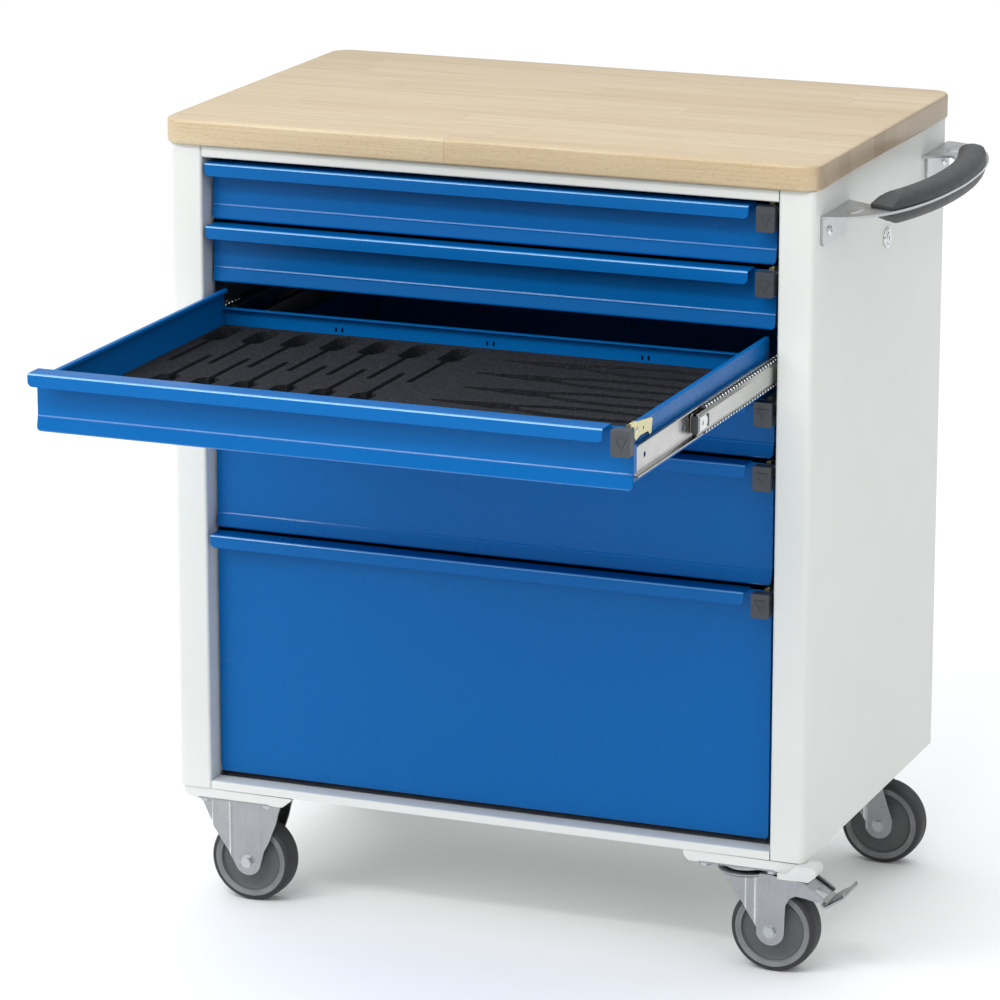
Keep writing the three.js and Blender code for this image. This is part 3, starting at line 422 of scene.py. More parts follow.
def foam_material():
    """Closed-cell foam: dark, matte, with open cut cells all over."""
    s = Shader("foam", 0.95, Specular_IOR_Level=0.2)
    cells = s.add("TexVoronoi", {"Vector": s.coords["Object"], "Scale": 620.0})
    coarse = s.noise(180, 4, roughness=0.7)
    fleck = s.noise(520, 2)
    base = s.mix(s.between(coarse, 0.3, 0.7), srgb(22, 23, 27), srgb(40, 41, 45))
    s.colour(s.mix(s.between(fleck, 0.58, 0.76, 0, 0.6), base, srgb(84, 85, 91)))
    first = s.bump(cells, 0.0006, 0.8)
    s.bump(coarse, 0.0008, 0.5, after=first)
    return s.material


BOARD_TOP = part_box("worktop")[1].z
GREY = powder_coat("grey_powder_coat", srgb(213, 215, 211), 0.42, 0.35, 0.04, 0.4)
BLUE = powder_coat("blue_powder_coat", srgb(0, 91, 158), 0.3, 0.4, 0.22, 0.13)
# A slightly lighter, glossier blue for the panels' bends: the lighter colour is a painted highlight,
# the extra gloss a real one.
BLUE_BEND_HIGHLIGHT = powder_coat("blue_powder_coat_bend", srgb(4, 99, 172), 0.22, 0.1, 0.1, 0.55)
# A much lighter blue for the grip's top front edge: a painted highlight line.
BLUE_GRIP_HIGHLIGHT = powder_coat("blue_powder_coat_edge", srgb(96, 156, 208), 0.2, 0.1, 0.1, 0.9)
BEECH = beech_material(BOARD_TOP)
ZINC = zinc_material("zinc_plate", srgb(186, 188, 190), 0.32, (40, 900, 900))
RAIL_ZINC = zinc_material("rail_zinc", srgb(186, 186, 183), 0.24, (900, 14, 900))
FORK_ZINC = zinc_material("fork_zinc", srgb(160, 161, 162), 0.3, (420, 420, 40))
# Lighter, glossier zinc for the fork ridges that face the left-hand light: a painted highlight.
FORK_RIDGE_HIGHLIGHT = zinc_material("burnished_zinc", srgb(226, 227, 228), 0.2, (420, 420, 40))
YELLOW = yellow_zinc_material()
CHROME = chrome_material()
DARK = plastic_material("dark_plastic", srgb(58, 62, 67), 0.5, 0.5)
GRIP = plastic_material("grip_plastic", srgb(58, 59, 61), 0.52, 0.7)
PALE = plastic_material("pale_plastic", srgb(206, 207, 204), 0.5, 0.4)
HUB = plastic_material("hub_plastic", srgb(84, 85, 86), 0.5, 0.4)
TYRE = rubber_material("tyre_rubber", srgb(44, 44, 46))
LIP = rubber_material("tyre_lip", srgb(118, 119, 120))
FOAM = foam_material()


# ---- outlines


def spread(value, count):
    """A list of one value for each corner."""
    return list(value) if isinstance(value, (list, tuple)) else [value] * count


def rounded(corners, radii, steps=6):
    """Replaces each inner corner of an open path by an arc."""
    points = [Vector(c) for c in corners]
    path = [points[0]]
    each = spread(radii, len(points) - 2)
    for before, corner, after, radius in zip(points, points[1:], points[2:], each):
        a, b = (before - corner).normalized(), (after - corner).normalized()
        half = math.acos(max(-1, min(1, a.dot(b)))) / 2
        reach = radius / math.tan(half)
        centre = corner + (a + b).normalized() * (radius / math.sin(half))
        start, end = corner + a * reach, corner + b * reach
        for k in range(steps + 1):
            path.append(centre + (start.lerp(end, k / steps) - centre).normalized() * radius)
    return path + [points[-1]]


def ring(corners, radii, steps=6):
    """A closed outline with rounded corners."""
    closed = [corners[-1]] + list(corners) + [corners[0]]
    return rounded(closed, spread(radii, len(corners)), steps)[1:-1]


def sheet(path, thickness):
    """Outline of bent sheet: the outer face follows the path and the metal is on its left."""
    normals = []
    for a, b in zip(path, path[1:]):
        along = (b - a).normalized()
        normals.append(Vector((-along.y, along.x)))
    inner = []
    for i, point in enumerate(path):
        before, after = normals[max(i - 1, 0)], normals[min(i, len(normals) - 1)]
        mitre = (before + after).normalized()
        inner.append(point + mitre * (thickness / mitre.dot(before)))
    return list(path) + inner[::-1]


def rectangle(xs, ys, radii=0.0, steps=6):
    corners = [(xs[0], ys[0]), (xs[1], ys[0]), (xs[1], ys[1]), (xs[0], ys[1])]
    if not radii:
        return [Vector(c) for c in corners]
    return ring(corners, [max(r, 0.01) for r in spread(radii, 4)], steps)


def bezier(a, b, c, d, steps=18):
    a, b, c, d = (Vector(p) for p in (a, b, c, d))
    path = []
    for k in range(steps + 1):
        t = k / steps
        u = 1 - t
        path.append(a * u**3 + b * 3 * u * u * t + c * 3 * u * t * t + d * t**3)
    return path


def arc(centre, radius, start, end, steps=12):
    x, y = centre
    turns = [math.radians(start + (end - start) * k / steps) for k in range(steps + 1)]
    return [Vector((x + radius * math.cos(t), y + radius * math.sin(t))) for t in turns]


# ---- solids: (points, faces)


AXIS_ORDER = {
    "x": lambda a, b, s: (s, a, b),
    "y": lambda a, b, s: (a, s, b),
    "z": lambda a, b, s: (a, b, s),
}


def prism(axis, outline, span):
    at = AXIS_ORDER[axis]
    n = len(outline)
    points = [at(p[0], p[1], s) for s in span for p in outline]
    sides = [(i, (i + 1) % n, n + (i + 1) % n, n + i) for i in range(n)]
    return points, [tuple(range(n)), tuple(range(2 * n - 1, n - 1, -1))] + sides


def block(xs, ys, zs, radius=0.0):
    return prism("z", rectangle(xs, ys, radius), zs)


def loft(rings):
    """Closed rings of equal length, joined and capped."""
    n = len(rings[0])
    points = [p for r in rings for p in r]
    faces = [tuple(range(n)), tuple(range(len(points) - 1, len(points) - n - 1, -1))]
    for k in range(len(rings) - 1):
        for i in range(n):
            j = (i + 1) % n
            faces.append((k * n + i, k * n + j, (k + 1) * n + j, (k + 1) * n + i))
    return points, faces


def lathe(axis, profile, centre, segments=48):
    """A profile of (radius, position on the axis). It closes on itself unless it ends on the axis."""
    at = AXIS_ORDER[axis]
    count = len(profile)
    points = []
    for k in range(segments):
        turn = 2 * math.pi * k / segments
        cos, sin = math.cos(turn), math.sin(turn)
        for radius, height in profile:
            points.append(at(centre[0] + radius * cos, centre[1] + radius * sin, height))
    open_ended = profile[0][0] == 0 and profile[-1][0] == 0
    faces = []
    for k in range(segments):
        here, after = k * count, (k + 1) % segments * count
        for i in range(count - 1 if open_ended else count):
            j = (i + 1) % count
            faces.append((here + i, here + j, after + j, after + i))
    return points, faces


def rod(axis, radius, span, centre, segments=32, chamfer=0.0):
    low, high = span
    profile = [(0, low), (radius - chamfer, low), (radius, low + chamfer)]
    profile += [(radius, high - chamfer), (radius - chamfer, high), (0, high)]
    return lathe(axis, profile, centre, segments)


def hexagon(axis, radius, span, centre):
    return prism(axis, arc(centre, radius, 0, 300, 5), span)


def moved(solid, shift):
    points, faces = solid
    return [tuple(p + s for p, s in zip(point, shift)) for point in points], faces


def merge_solids(solids):
    points, faces = [], []
    for part_points, part_faces in solids:
        start = len(points)
        points += part_points
        faces += [tuple(start + i for i in face) for face in part_faces]
    return points, faces


# ---- pieces


def mesh_of(name, solids, shift=(0, 0, 0)):
    points, faces = merge_solids(solids)
    mesh = bpy.data.meshes.new(name)
    mesh.from_pydata([place(p, shift) for p in points], [], faces)
    clean = bmesh.new()
    clean.from_mesh(mesh)
    bmesh.ops.remove_doubles(clean, verts=clean.verts, dist=1e-6)
    bmesh.ops.dissolve_degenerate(clean, edges=clean.edges, dist=1e-7)
    bmesh.ops.recalc_face_normals(clean, faces=clean.faces)
    clean.to_mesh(mesh)
    clean.free()
    return mesh


def combine(obj, solids, operation, shift):
    """Boolean operations with each solid in turn, applied."""
    helpers = []
    for k, solid in enumerate(solids):
        helper = bpy.data.objects.new(f"{obj.name}_tool_{k}", mesh_of("tool", [solid], shift))
        bpy.context.scene.collection.objects.link(helper)
        modifier = obj.modifiers.new(f"tool_{k}", "BOOLEAN")
        modifier.operation = operation
        modifier.solver = "EXACT"
        modifier.object = helper
        helpers.append(helper)
    graph = bpy.context.evaluated_depsgraph_get()
    graph.update()
    result = bpy.data.meshes.new_from_object(obj.evaluated_get(graph))
    obj.modifiers.clear()
    obj.data = result
    for helper in helpers:
        bpy.data.objects.remove(helper)


def piece(name, solids, material, body, nodes=(), slot=None, unite=(), within=(), cut=(),
          bevel=0.0, shift=(0, 0, 0), sharp=32, segments=2):
    """One shown piece: solids, then unions, intersections and cuts, then a small edge radius."""
    obj = bpy.data.objects.new(name, mesh_of(name, solids, shift))
    bpy.context.scene.collection.objects.link(obj)
    for tools, operation in ((unite, "UNION"), (within, "INTERSECT"), (cut, "DIFFERENCE")):
        if tools:
            combine(obj, tools, operation, shift)
    obj.data.materials.clear()
    obj.data.materials.append(material)
    obj.data.polygons.foreach_set("use_smooth", [True] * len(obj.data.polygons))
    obj.data.set_sharp_from_angle(angle=math.radians(sharp))
    if bevel:
        edge = obj.modifiers.new("edge", "BEVEL")
        edge.width = bevel * MM
        edge.segments = segments
        edge.limit_method = "ANGLE"
        edge.angle_limit = math.radians(sharp)
        edge.harden_normals = True
        edge.miter_outer = "MITER_ARC"
    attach(obj, body)
    if nodes:
        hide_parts(*nodes)
    return obj


def paint_highlight_faces(obj, material, chosen):
    """Gives the faces whose normals are chosen a second, lighter copy of the material: a painted
    highlight.
    """
    obj.data.materials.append(material)
    for face in obj.data.polygons:
        if chosen(face.normal):
            face.material_index = 1


def is_bend(normal):
    return abs(normal.x) < 0.5 and max(abs(normal.y), abs(normal.z)) < 0.97


def is_top_edge(normal):
    return abs(normal.x) < 0.5 and normal.y < -0.35 and normal.z > 0.35


def is_ridge(normal):
    return normal.x < -0.3 and abs(normal.y) > 0.5


def screw(name, centre, height, radius):
    """A pan head with a cross recess, standing on the body's right face and facing along X."""
    dome = [(0, 0), (radius, 0), (radius, 0.9), (radius * 0.9, 1.9), (radius * 0.6, 2.6), (0, 2.9)]
    head = lathe("x", [(r, height + h) for r, h in dome], centre, 28)
    a, b = centre
    slots = []
    for wide, tall in ((radius * 0.55, 0.7), (0.7, radius * 0.55)):
        outline = rectangle((a - wide, a + wide), (b - tall, b + tall))
        slots.append(prism("x", outline, (height + 1.5, height + 4)))
    piece(name, [head], CHROME, "cabinet", slot="zinc", cut=slots, bevel=0.12, sharp=40)


# ---- body


def painted(name, solids, nodes=(), **shape):
    """A grey piece of the body."""
    piece(name, solids, GREY, "cabinet", nodes, "grey_paint", **shape)


def make_worktop():
    low, high = (v.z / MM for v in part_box("worktop"))
    beside, beyond = WORKTOP_OVERHANG
    steps = 5
    turns = [math.radians(90 * k / steps) for k in range(steps + 1)]
    rings = []
    for edge, up, angles in ((low, 1, turns), (high, -1, turns[::-1])):
        for turn in angles:
            inset = WORKTOP_EDGE * (1 - math.sin(turn))
            z = edge + up * WORKTOP_EDGE * (1 - math.cos(turn))
            xs = (inset - beside, BODY_WIDTH + beside - inset)
            ys = (inset - beyond, BODY_DEPTH + beyond - inset)
            outline = rectangle(xs, ys, WORKTOP_CORNER - inset, 10)
            rings.append([(p.x, p.y, z) for p in outline])
    piece("worktop_board", [loft(rings)], BEECH, "cabinet", ["worktop"], "beech", sharp=40)


def side_outline(flip):
    """Rear flange, side, rounded front post and the post's return, seen from above."""
    corners = [(22, BODY_DEPTH), (0, BODY_DEPTH), (0, 0), (POST_WIDTH, 0), (POST_WIDTH, POST_RETURN)]
    outline = sheet(rounded(corners, [3, 8, 3.5], 8), SHEET)
    return [Vector((right_x(p.x) if flip else p.x, p.y)) for p in outline]


def make_body():
    lock_hole = rod("x", 9.3, (BODY_WIDTH - 8, BODY_WIDTH + 4), LOCK, 40)
    for side, cut in (("left", []), ("right", [lock_hole])):
        wall = prism("z", side_outline(side == "right"), (BODY_BOTTOM, BODY_TOP))
        painted(f"{side}_side", [wall], [f"{side}_side_panel"], cut=cut, bevel=0.5)
    between = (POST_WIDTH + GAP, right_x(POST_WIDTH + GAP))
    face, lip, sill = 0.5, BODY_TOP - 14.5, BODY_BOTTOM + 10
    paths = {
        "top": [(60, BODY_TOP), (face, BODY_TOP), (face, lip), (POST_RETURN, lip)],
        "bottom": [(POST_RETURN, sill - 7), (POST_RETURN, sill), (face, sill), (face, BODY_BOTTOM)],
    }
    for end, path in paths.items():
        rail = prism("x", sheet(rounded(path, 2.5), THIN_SHEET), between)
        painted(f"front_rail_{end}", [rail], [f"front_{end}_rail"], bevel=0.3)
    back, left = BODY_DEPTH - SHEET - GAP, SHEET + GAP
    right, flange, inner = right_x(left), back - 16, POST_RETURN + GAP
    path = [(right, flange), (right, back), (left, back), (left, flange)]
    rear = prism("z", sheet(rounded(path, 3), THIN_SHEET), (INSIDE, BODY_TOP))
    painted("rear_sheet", [rear], ["rear_panel"], bevel=0.3)
    head = [(0, back), (4.2, back), (3.6, back + 1.1), (0, back + 1.6)]
    columns, rows = (14, 205, 397.5, 590, right_x(14)), (165, 541, 918)
    painted("rear_rivets", [lathe("y", head, (x, z), 20) for x in columns for z in rows], sharp=50)
    corners = [(between[0], 2.5), (between[1], 2.5), (between[1], inner), (right, inner),
               (right, back), (left, back), (left, inner), (between[0], inner)]
    base = prism("z", [Vector(corner) for corner in corners], BASE)
    painted("base_sheet", [base], ["base_panel"], bevel=0.4)


def make_beam(side, left):
    """Channel under the base with one slanted side and closed ends."""
    low, slant, thick = 135, 12, 2.5
    right = left + BEAM_WIDTH
    front, back = 2, BODY_DEPTH - 2
    path = rounded([(left, UNDERSIDE), (left, low), (right - slant, low), (right, UNDERSIDE - 1)],
                   [8, 4], 6)

    def trimmed(outline):
        return [Vector((p.x, min(p.y, UNDERSIDE))) for p in outline]

    channel = prism("y", trimmed(sheet(path[::-1], thick)), (front, back))
    ends = [prism("y", trimmed(path), (y, y + thick)) for y in (front, back - thick)]
    painted(f"{side}_beam", [channel], [f"caster_beam_{side}"], unite=ends, bevel=0.5)


def make_bumper():
    """Pale block over the braked caster, sloped outwards, with three ribs cut below."""
    outline = [(765.5, 127.5), (803, 127.5), (812, 135), (812, 142), (807, UNDERSIDE),
               (787.5, UNDERSIDE), (787.5, 144.1), (775.5, PLATE_TOP), (765.5, PLATE_TOP)]
    radii = [1, 4, 3, 3, 2, 0.2, 0.4, 0.6, 0.6]
    grooves = [block((790, 806), (y, y + 1.6), (126, 129)) for y in (-2, 4, 10)]
    piece("corner_block", [prism("y", ring(outline, radii, 4), (-8, 20))], PALE, "cabinet",
          ["corner_bumper"], "light_plastic", cut=grooves, bevel=1.0, segments=3)


# ---- slides and racks


def slide_plan(wall, sign):
    reach = wall + sign * SLIDE_REACH
    return {
        "sign": sign,
        "drawer": (reach, reach + sign * 7),
        "middle": reach + sign * SLIDE_OUTER / 2,
        "rack": (reach + sign * SLIDE_OUTER, reach + sign * (SLIDE_OUTER - 7)),
    }


PLANS = {"left": slide_plan(TRAY_LEFT, -1), "right": slide_plan(TRAY_RIGHT, 1)}


def c_rail(web, lip, z, span):
    half = SLIDE_HEIGHT / 2
    corners = [(lip, z - half), (web, z - half), (web, z + half), (lip, z + half)]
    if web < lip:
        corners.reverse()
    return prism("y", sheet(rounded(corners, 4.2), THIN_SHEET), span)


def make_rack(side):
    """Two uprights with pairs of slots, and the fixed rail of each slide."""
    plan = PLANS[side]
    outer = SHEET + GAP if side == "left" else right_x(SHEET + GAP)
    web = plan["rack"][0] + plan["sign"] * GAP
    uprights, slots = [], []
    for y in RACK_Y:
        corners = [(outer, y), (web, y), (web, y + RACK_WIDTH), (outer, y + RACK_WIDTH)]
        if plan["sign"] > 0:
            corners.reverse()
        outline = sheet(rounded(corners, 3), THIN_SHEET)
        uprights.append(prism("z", outline, (INSIDE, BODY_TOP - 2.5)))
        for k in range(30):
            z = 162 + RACK_HOLE_PITCH * k
            for near in (y + 9, y + 17):
                slots.append(block((web - 4, web + 4), (near, near + 4), (z, z + 12), 1.9))
    piece(f"rack_{side}_uprights", uprights, ZINC, "cabinet", [f"runner_rack_{side}"], "zinc",
          cut=[merge_solids(slots)], bevel=0.2)
    rails = [c_rail(*plan["rack"], top - SLIDE_DROP, (37, 477)) for top in DRAWER_TOPS]
    piece(f"rack_{side}_rails", rails, RAIL_ZINC, "cabinet", slot="zinc", bevel=0.25)


def make_middle(drawer, side):
    """The middle rail: two bowed faces and a web, ball cages and the catch at its front end."""
    plan = PLANS[side]
    sign, x, z = plan["sign"], plan["middle"], drawer.slide_z
    node = f"{drawer.name}_middle_{side}"
    front, back = ((v.y - CORNER.y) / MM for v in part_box(node))

    def part(name, solids, material, slot, **shape):
        piece(f"{drawer.name}_{name}_{side}", solids, material, f"{drawer.name}_middle_rails",
              slot=slot, **shape)

    plates = []
    for way in (sign, -sign):
        near, far = x + way * 3.2, x + way * 5.0
        path = rounded([(near, z - 12.4), (far, z - 8.5), (far, z + 8.5), (near, z + 12.4)], 3, 4)
        plates.append(prism("y", sheet(path if way > 0 else path[::-1], THIN_SHEET), (front, back)))
    web = block((x - 3.8, x + 3.8), (front, back), (z - 0.75, z + 0.75))
    piece(f"{node}_rail", plates[:1], RAIL_ZINC, f"{drawer.name}_middle_rails", [node], "zinc",
          unite=[web, plates[1]], bevel=0.2)
    balls, cages = [], []
    pitch, count, ball = 9.0, 34, 1.7
    first = front + 30
    turns = [math.pi * i / 6 for i in range(7)]
    for level in (z - 14.1, z + 14.1):
        cages.append(block((x - 3.4, x + 3.4), (first - 8, first + pitch * count),
                           (level - 0.5, level + 0.5)))
        profile = [(ball * math.sin(t), level + ball * -math.cos(t)) for t in turns]
        profile[0], profile[-1] = (0, profile[0][1]), (0, profile[-1][1])
        for k in range(count):
            for across in (x - 2.6, x + 2.6):
                balls.append(lathe("z", profile, (across, first + pitch * k), 8))
    part("cage", cages, DARK, "dark_plastic", bevel=0.15)
    part("balls", balls, CHROME, "zinc", sharp=80)
    face = sorted((x + sign * 5.05, x + sign * 5.9))
    catch = ring([(front + 2, z - 8), (front + 20, z - 8), (front + 26, z - 3), (front + 26, z + 3),
                  (front + 20, z + 8), (front + 2, z + 8)], 2, 4)
    hole = rod("x", 2.4, (x - 9, x + 9), (front + 11, z), 24)
    part("catch", [prism("x", catch, face)], CHROME, "chrome", cut=[hole], bevel=0.3)
    ends = [block((x - 4.4, x + 4.4), (front - 1.2, front + 1), (z - 9, z + 9), 1.2),
            prism("x", rectangle((front + 26.5, front + 31), (z - 7, z + 7), 1.5), face)]
    part("stop", ends, DARK, "dark_plastic", bevel=0.3)


# ---- drawers


class Drawer:
    """One drawer: its height span in mm, how far it stands open, and a short way to add a piece."""

    def __init__(self, number):
        self.name = f"drawer_{number}"
        low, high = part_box(f"{self.name}_tray")
        self.top, self.bottom = high.z / MM, low.z / MM
        self.slide_z = self.top - SLIDE_DROP
        self.shift = (0, (low.y - CORNER.y) / MM, 0)
        self.skirt = number < len(DRAWER_TOPS)

    def nodes(self, part):
        """A part's CAD node, where the drawer has it as a node of its own."""
        name = f"{self.name}_{part}"
        return [name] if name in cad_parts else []

    def add(self, part, solids, material, slot, nodes=(), body="", **shape):
        return piece(f"{self.name}_{part}", solids, material, self.name + body, nodes, slot,
                     shift=self.shift, **shape)


def make_front(drawer):
    """Front panel with a folded skirt and foot, and the grip that is folded over its top."""
    top, bottom, set_back = drawer.top, drawer.bottom, FRONT_SETBACK
    foot = set_back - (4 if drawer.skirt else 0)
    path, radii = [(set_back, top - 2)], [2.5]
    if drawer.skirt:
        crease = bottom + SKIRT_HEIGHT
        path += [(set_back, crease + 1.4), (set_back - 0.9, crease), (set_back - 0.7, crease - 1.5)]
        radii = [0.5, 0.5, 0.5, 2.5]
    path += [(foot, bottom), (foot + 18, bottom)]
    panel = prism("x", sheet(rounded(path, radii), THIN_SHEET), FRONT_X)
    panel_limit = prism("y", rectangle(FRONT_X, (bottom, top), [6, 6, 1, 1]), (-5, 60))
    grip_foot = top - GRIP_HEIGHT
    grip_path = rounded([(0, grip_foot), (0, top), (set_back + 1.6, top)], 2.6, 8)
    grip = prism("x", sheet(grip_path[::-1], THIN_SHEET), GRIP_X)
    grip_limit = prism("y", rectangle(GRIP_X, (grip_foot, top + 1), [6, 6, 0.01, 0.01]), (-2, 40))
    left, right = FRONT_X
    notch = block((right - 6, right + 1), (24, 36), (top - 22, top + 1))
    flanges = [block(xs, (set_back + 0.5, set_back + 10), (bottom + 18, top - 2))
               for xs in ((left, left + THIN_SHEET), (right - THIN_SHEET, right))]
    face = drawer.add("front", [panel], BLUE, "blue_paint", drawer.nodes("tray"),
                      within=[panel_limit], bevel=0.35)
    # the bends get the lighter blue: painted highlight lines
    paint_highlight_faces(face, BLUE_BEND_HIGHLIGHT, is_bend)
    drawer.add("front_flanges", flanges, BLUE, "blue_paint", cut=[notch], bevel=0.3)
    handle = drawer.add("grip", [grip], BLUE, "blue_paint", within=[grip_limit], bevel=0.35)
    # the grip's top front edge gets the much lighter blue: a painted highlight
    paint_highlight_faces(handle, BLUE_GRIP_HIGHLIGHT, is_top_edge)


def make_tub(drawer):
    """Floor, two side walls with a turned-in top edge, and the lower rear wall."""
    top, low = drawer.top, drawer.bottom + 3
    wall_top, rear_top = top - 3, top - 26
    rib = drawer.slide_z + SLIDE_HEIGHT / 2 + 4
    for side, wall in (("left", TRAY_LEFT), ("right", TRAY_RIGHT)):
        inward = 1 if side == "left" else -1
        lip = wall + inward * 6.5
        path = rounded([(wall + inward * 16, low), (wall, low), (wall, wall_top), (lip, wall_top),
                        (lip, wall_top - 4)], [2.4, 1.8, 1.8], 5)
        outline = sheet(path if inward < 0 else path[::-1], THIN_SHEET)
        xs = sorted((wall - inward * 0.35, wall + inward * 0.5))
        emboss = block(xs, (60, 455), (rib, rib + 1.4))
        drawer.add(f"wall_{side}", [prism("y", outline, (TRAY_FRONT, TRAY_REAR))], BLUE, "blue_paint",
                   unite=[emboss] if drawer.bottom + 60 < top - 5 else [], bevel=0.25)
    floor = block((TRAY_LEFT + 15.5, TRAY_RIGHT - 15.5), (TRAY_FRONT + 1.5, TRAY_REAR - 1),
                  (low, low + THIN_SHEET))
    drawer.add("floor", [floor], BLUE, "blue_paint", bevel=0.2)
    rear = sheet(rounded([(TRAY_REAR - 8, rear_top), (TRAY_REAR, rear_top), (TRAY_REAR, low),
                          (TRAY_REAR - 10, low)], 2.2), THIN_SHEET)
    wall = prism("x", rear[::-1], (TRAY_LEFT + 1.6, TRAY_RIGHT - 1.6))
    slots = []
    for pair in (-1, 0, 1):
        for side in (-1, 1):
            x = (TRAY_LEFT + TRAY_RIGHT) / 2 + pair * DIVIDER_PITCH + side * DIVIDER_SPACING / 2
            slots.append(block((x - 1.25, x + 1.25), (TRAY_REAR - 4, TRAY_REAR + 2),
                               (rear_top - 17.5, rear_top - 12)))
    drawer.add("wall_rear", [wall], BLUE, "blue_paint", cut=[merge_solids(slots)], bevel=0.25)


def make_runners(drawer):
    """The slide rails that are screwed to the drawer's sides."""
    for side, plan in PLANS.items():
        web, lip = plan["drawer"]
        rail = c_rail(web, lip, drawer.slide_z, (36, 476))
        holes = [rod("x", 3.2, (web - 3, web + 3), (y, drawer.slide_z), 20)
                 for y in (70, 190, 330, 440)]
        drawer.add(f"runner_{side}", [rail], RAIL_ZINC, "zinc", drawer.nodes(f"rail_{side}"),
                   cut=[merge_solids(holes)], bevel=0.3)


def make_latch(drawer):
    """Dark press block with a raised triangle, on a yellow sheet lever."""
    top = drawer.top
    left, right = LATCH_X
    blank = prism("y", rectangle(LATCH_X, (top - 29, top), [3, 3, 1.2, 1.2], 5), (0.5, 14))
    mark = prism("y", ring([(left + 3.5, top - 7.5), (right - 3.5, top - 7.5),
                            ((left + right) / 2, top - 23)], 0.8, 3), (-0.4, 1.5))
    well = prism("y", ring([(left + 6, top - 9), (right - 6, top - 9),
                            ((left + right) / 2, top - 19)], 0.5, 3), (-1, 0.3))
    near, far = LEVER_X
    stem = block((near - 1, far + 1), (13, 22), (top - 14, top - 2))
    drawer.add("latch_block", [blank], DARK, "dark_plastic", drawer.nodes("latch"), "_latch",
               unite=[stem, mark], cut=[well], bevel=0.45)
    outline = [(22.3, top - 10), (32, top - 12), (36, top - 19), (50, top - 16), (74, top - 17),
               (79, top - 21.5), (84, top - 21.5), (88, top - 5), (40, top + 1), (34, top + 3),
               (22.3, top + 3)]
    lever = prism("x", ring(outline, [0.6, 2, 1.5, 3, 1, 0.8, 1.2, 2.5, 6, 1.5, 1], 3), LEVER_X)
    corners = [(far, top + 3), (far, top - 6), (far - 6, top - 4), (far - 6, top + 1)]
    hook = prism("y", ring(corners, 0.8, 3), (22.3, 24.3))
    eye = rod("x", 2.1, (near - 3, far + 3), (60, top - 10), 20)
    rivet = [(0, far - 0.2), (3.4, far - 0.2), (3.4, far + 0.6), (2.2, far + 1.4), (0, far + 1.5)]
    drawer.add("lever", [lever], YELLOW, "yellow_zinc", drawer.nodes("latch_lever"), "_latch",
               unite=[hook], cut=[eye], bevel=0.3)
    drawer.add("lever_rivet", [lathe("x", rivet, (40, top - 8), 24)], CHROME, "chrome",
               body="_latch", sharp=45)


BLADE_POCKET = {"half": 3.5, "corner": 3, "depth": 8.5}
HANDLE_POCKET = {"half": 14, "corner": 13.5, "depth": 12.5}
TOOL_ROWS = (  # how many, first X, pitch, and where blades and handles start and end in Y
    (7, 79, 49.3, (290, 402), (398, 468)),
    (6, 112, 48.2, (226, 332), (140, 230)),
)
PLIERS_TIPS = ((436, 430), (428, 362), (440, 294), (430, 226))
PLIERS_DEPTH = 12
PLIERS_JAWS = [(0, 3), (50, 10), (84, 14), (104, 12)]
PLIERS_LEG = [(94, 1), (140, 10), (190, 13), (252, 9), (254, 20), (190, 26), (138, 24), (94, 12)]


def foam_pockets(high):
    """Screwdrivers in two rows, four pliers that lie along X, and two small pockets."""
    pockets = []

    def pocket(xs, ys, corner, depth):
        pockets.append(prism("z", rectangle(xs, ys, corner, 6), (high - depth, high + 1)))

    for count, first, pitch, *spans in TOOL_ROWS:
        for k in range(count):
            x = first + pitch * k
            for ys, size in zip(spans, (BLADE_POCKET, HANDLE_POCKET)):
                pocket((x - size["half"], x + size["half"]), ys, size["corner"], size["depth"])
    jaws = PLIERS_JAWS + [(u, -v) for u, v in PLIERS_JAWS[::-1]]
    radii = [0.5, 18, 60, 5, 5, 40, 30, 1]
    outlines = [(jaws, [1.5, 30, 8, 3, 3, 8, 30, 1.5]), (PLIERS_LEG, radii)]
    outlines.append(([(u, -v) for u, v in PLIERS_LEG], radii))
    for x, y in PLIERS_TIPS:
        for outline, corners in outlines:
            shape = ring([(x + u, y + v) for u, v in outline], corners, 5)
            pockets.append(prism("z", shape, (high - PLIERS_DEPTH, high + 1)))
    pocket((440, 560), (118, 150), 8, BLADE_POCKET["depth"])
    pocket((590, 700), (112, 156), 10, BLADE_POCKET["depth"])
    return pockets


def make_foam(drawer):
    low = drawer.bottom + 4.8
    high = low + FOAM_THICKNESS
    xs, ys = (TRAY_LEFT + 2.5, TRAY_RIGHT - 2.5), (TRAY_FRONT + 2.5, TRAY_REAR - 2.5)
    slab = prism("z", rectangle(xs, ys, 2, 4), (low, high))
    foam = piece("foam_insert", [slab], FOAM, drawer.name, drawer.nodes("foam_insert"), "foam",
                 cut=foam_pockets(high), bevel=0.6, shift=drawer.shift)


def make_drawers():
    for number in range(1, len(DRAWER_TOPS) + 1):
        drawer = Drawer(number)
        make_front(drawer)
        make_tub(drawer)
        make_runners(drawer)
        make_latch(drawer)
        for side in PLANS:
            make_middle(drawer, side)
        if drawer.nodes("foam_insert"):
            make_foam(drawer)


# ---- handle and lock


def resample(path, count):
    """Equally spaced points along a path."""
    lengths = [0]
    for a, b in zip(path, path[1:]):
        lengths.append(lengths[-1] + (b - a).length)
    points, k = [], 0
    for i in range(count + 1):
        target = lengths[-1] * i / count
        while k < len(path) - 2 and lengths[k + 1] < target:
            k += 1
        span = lengths[k + 1] - lengths[k]
        points.append(path[k].lerp(path[k + 1], (target - lengths[k]) / span))
    return points


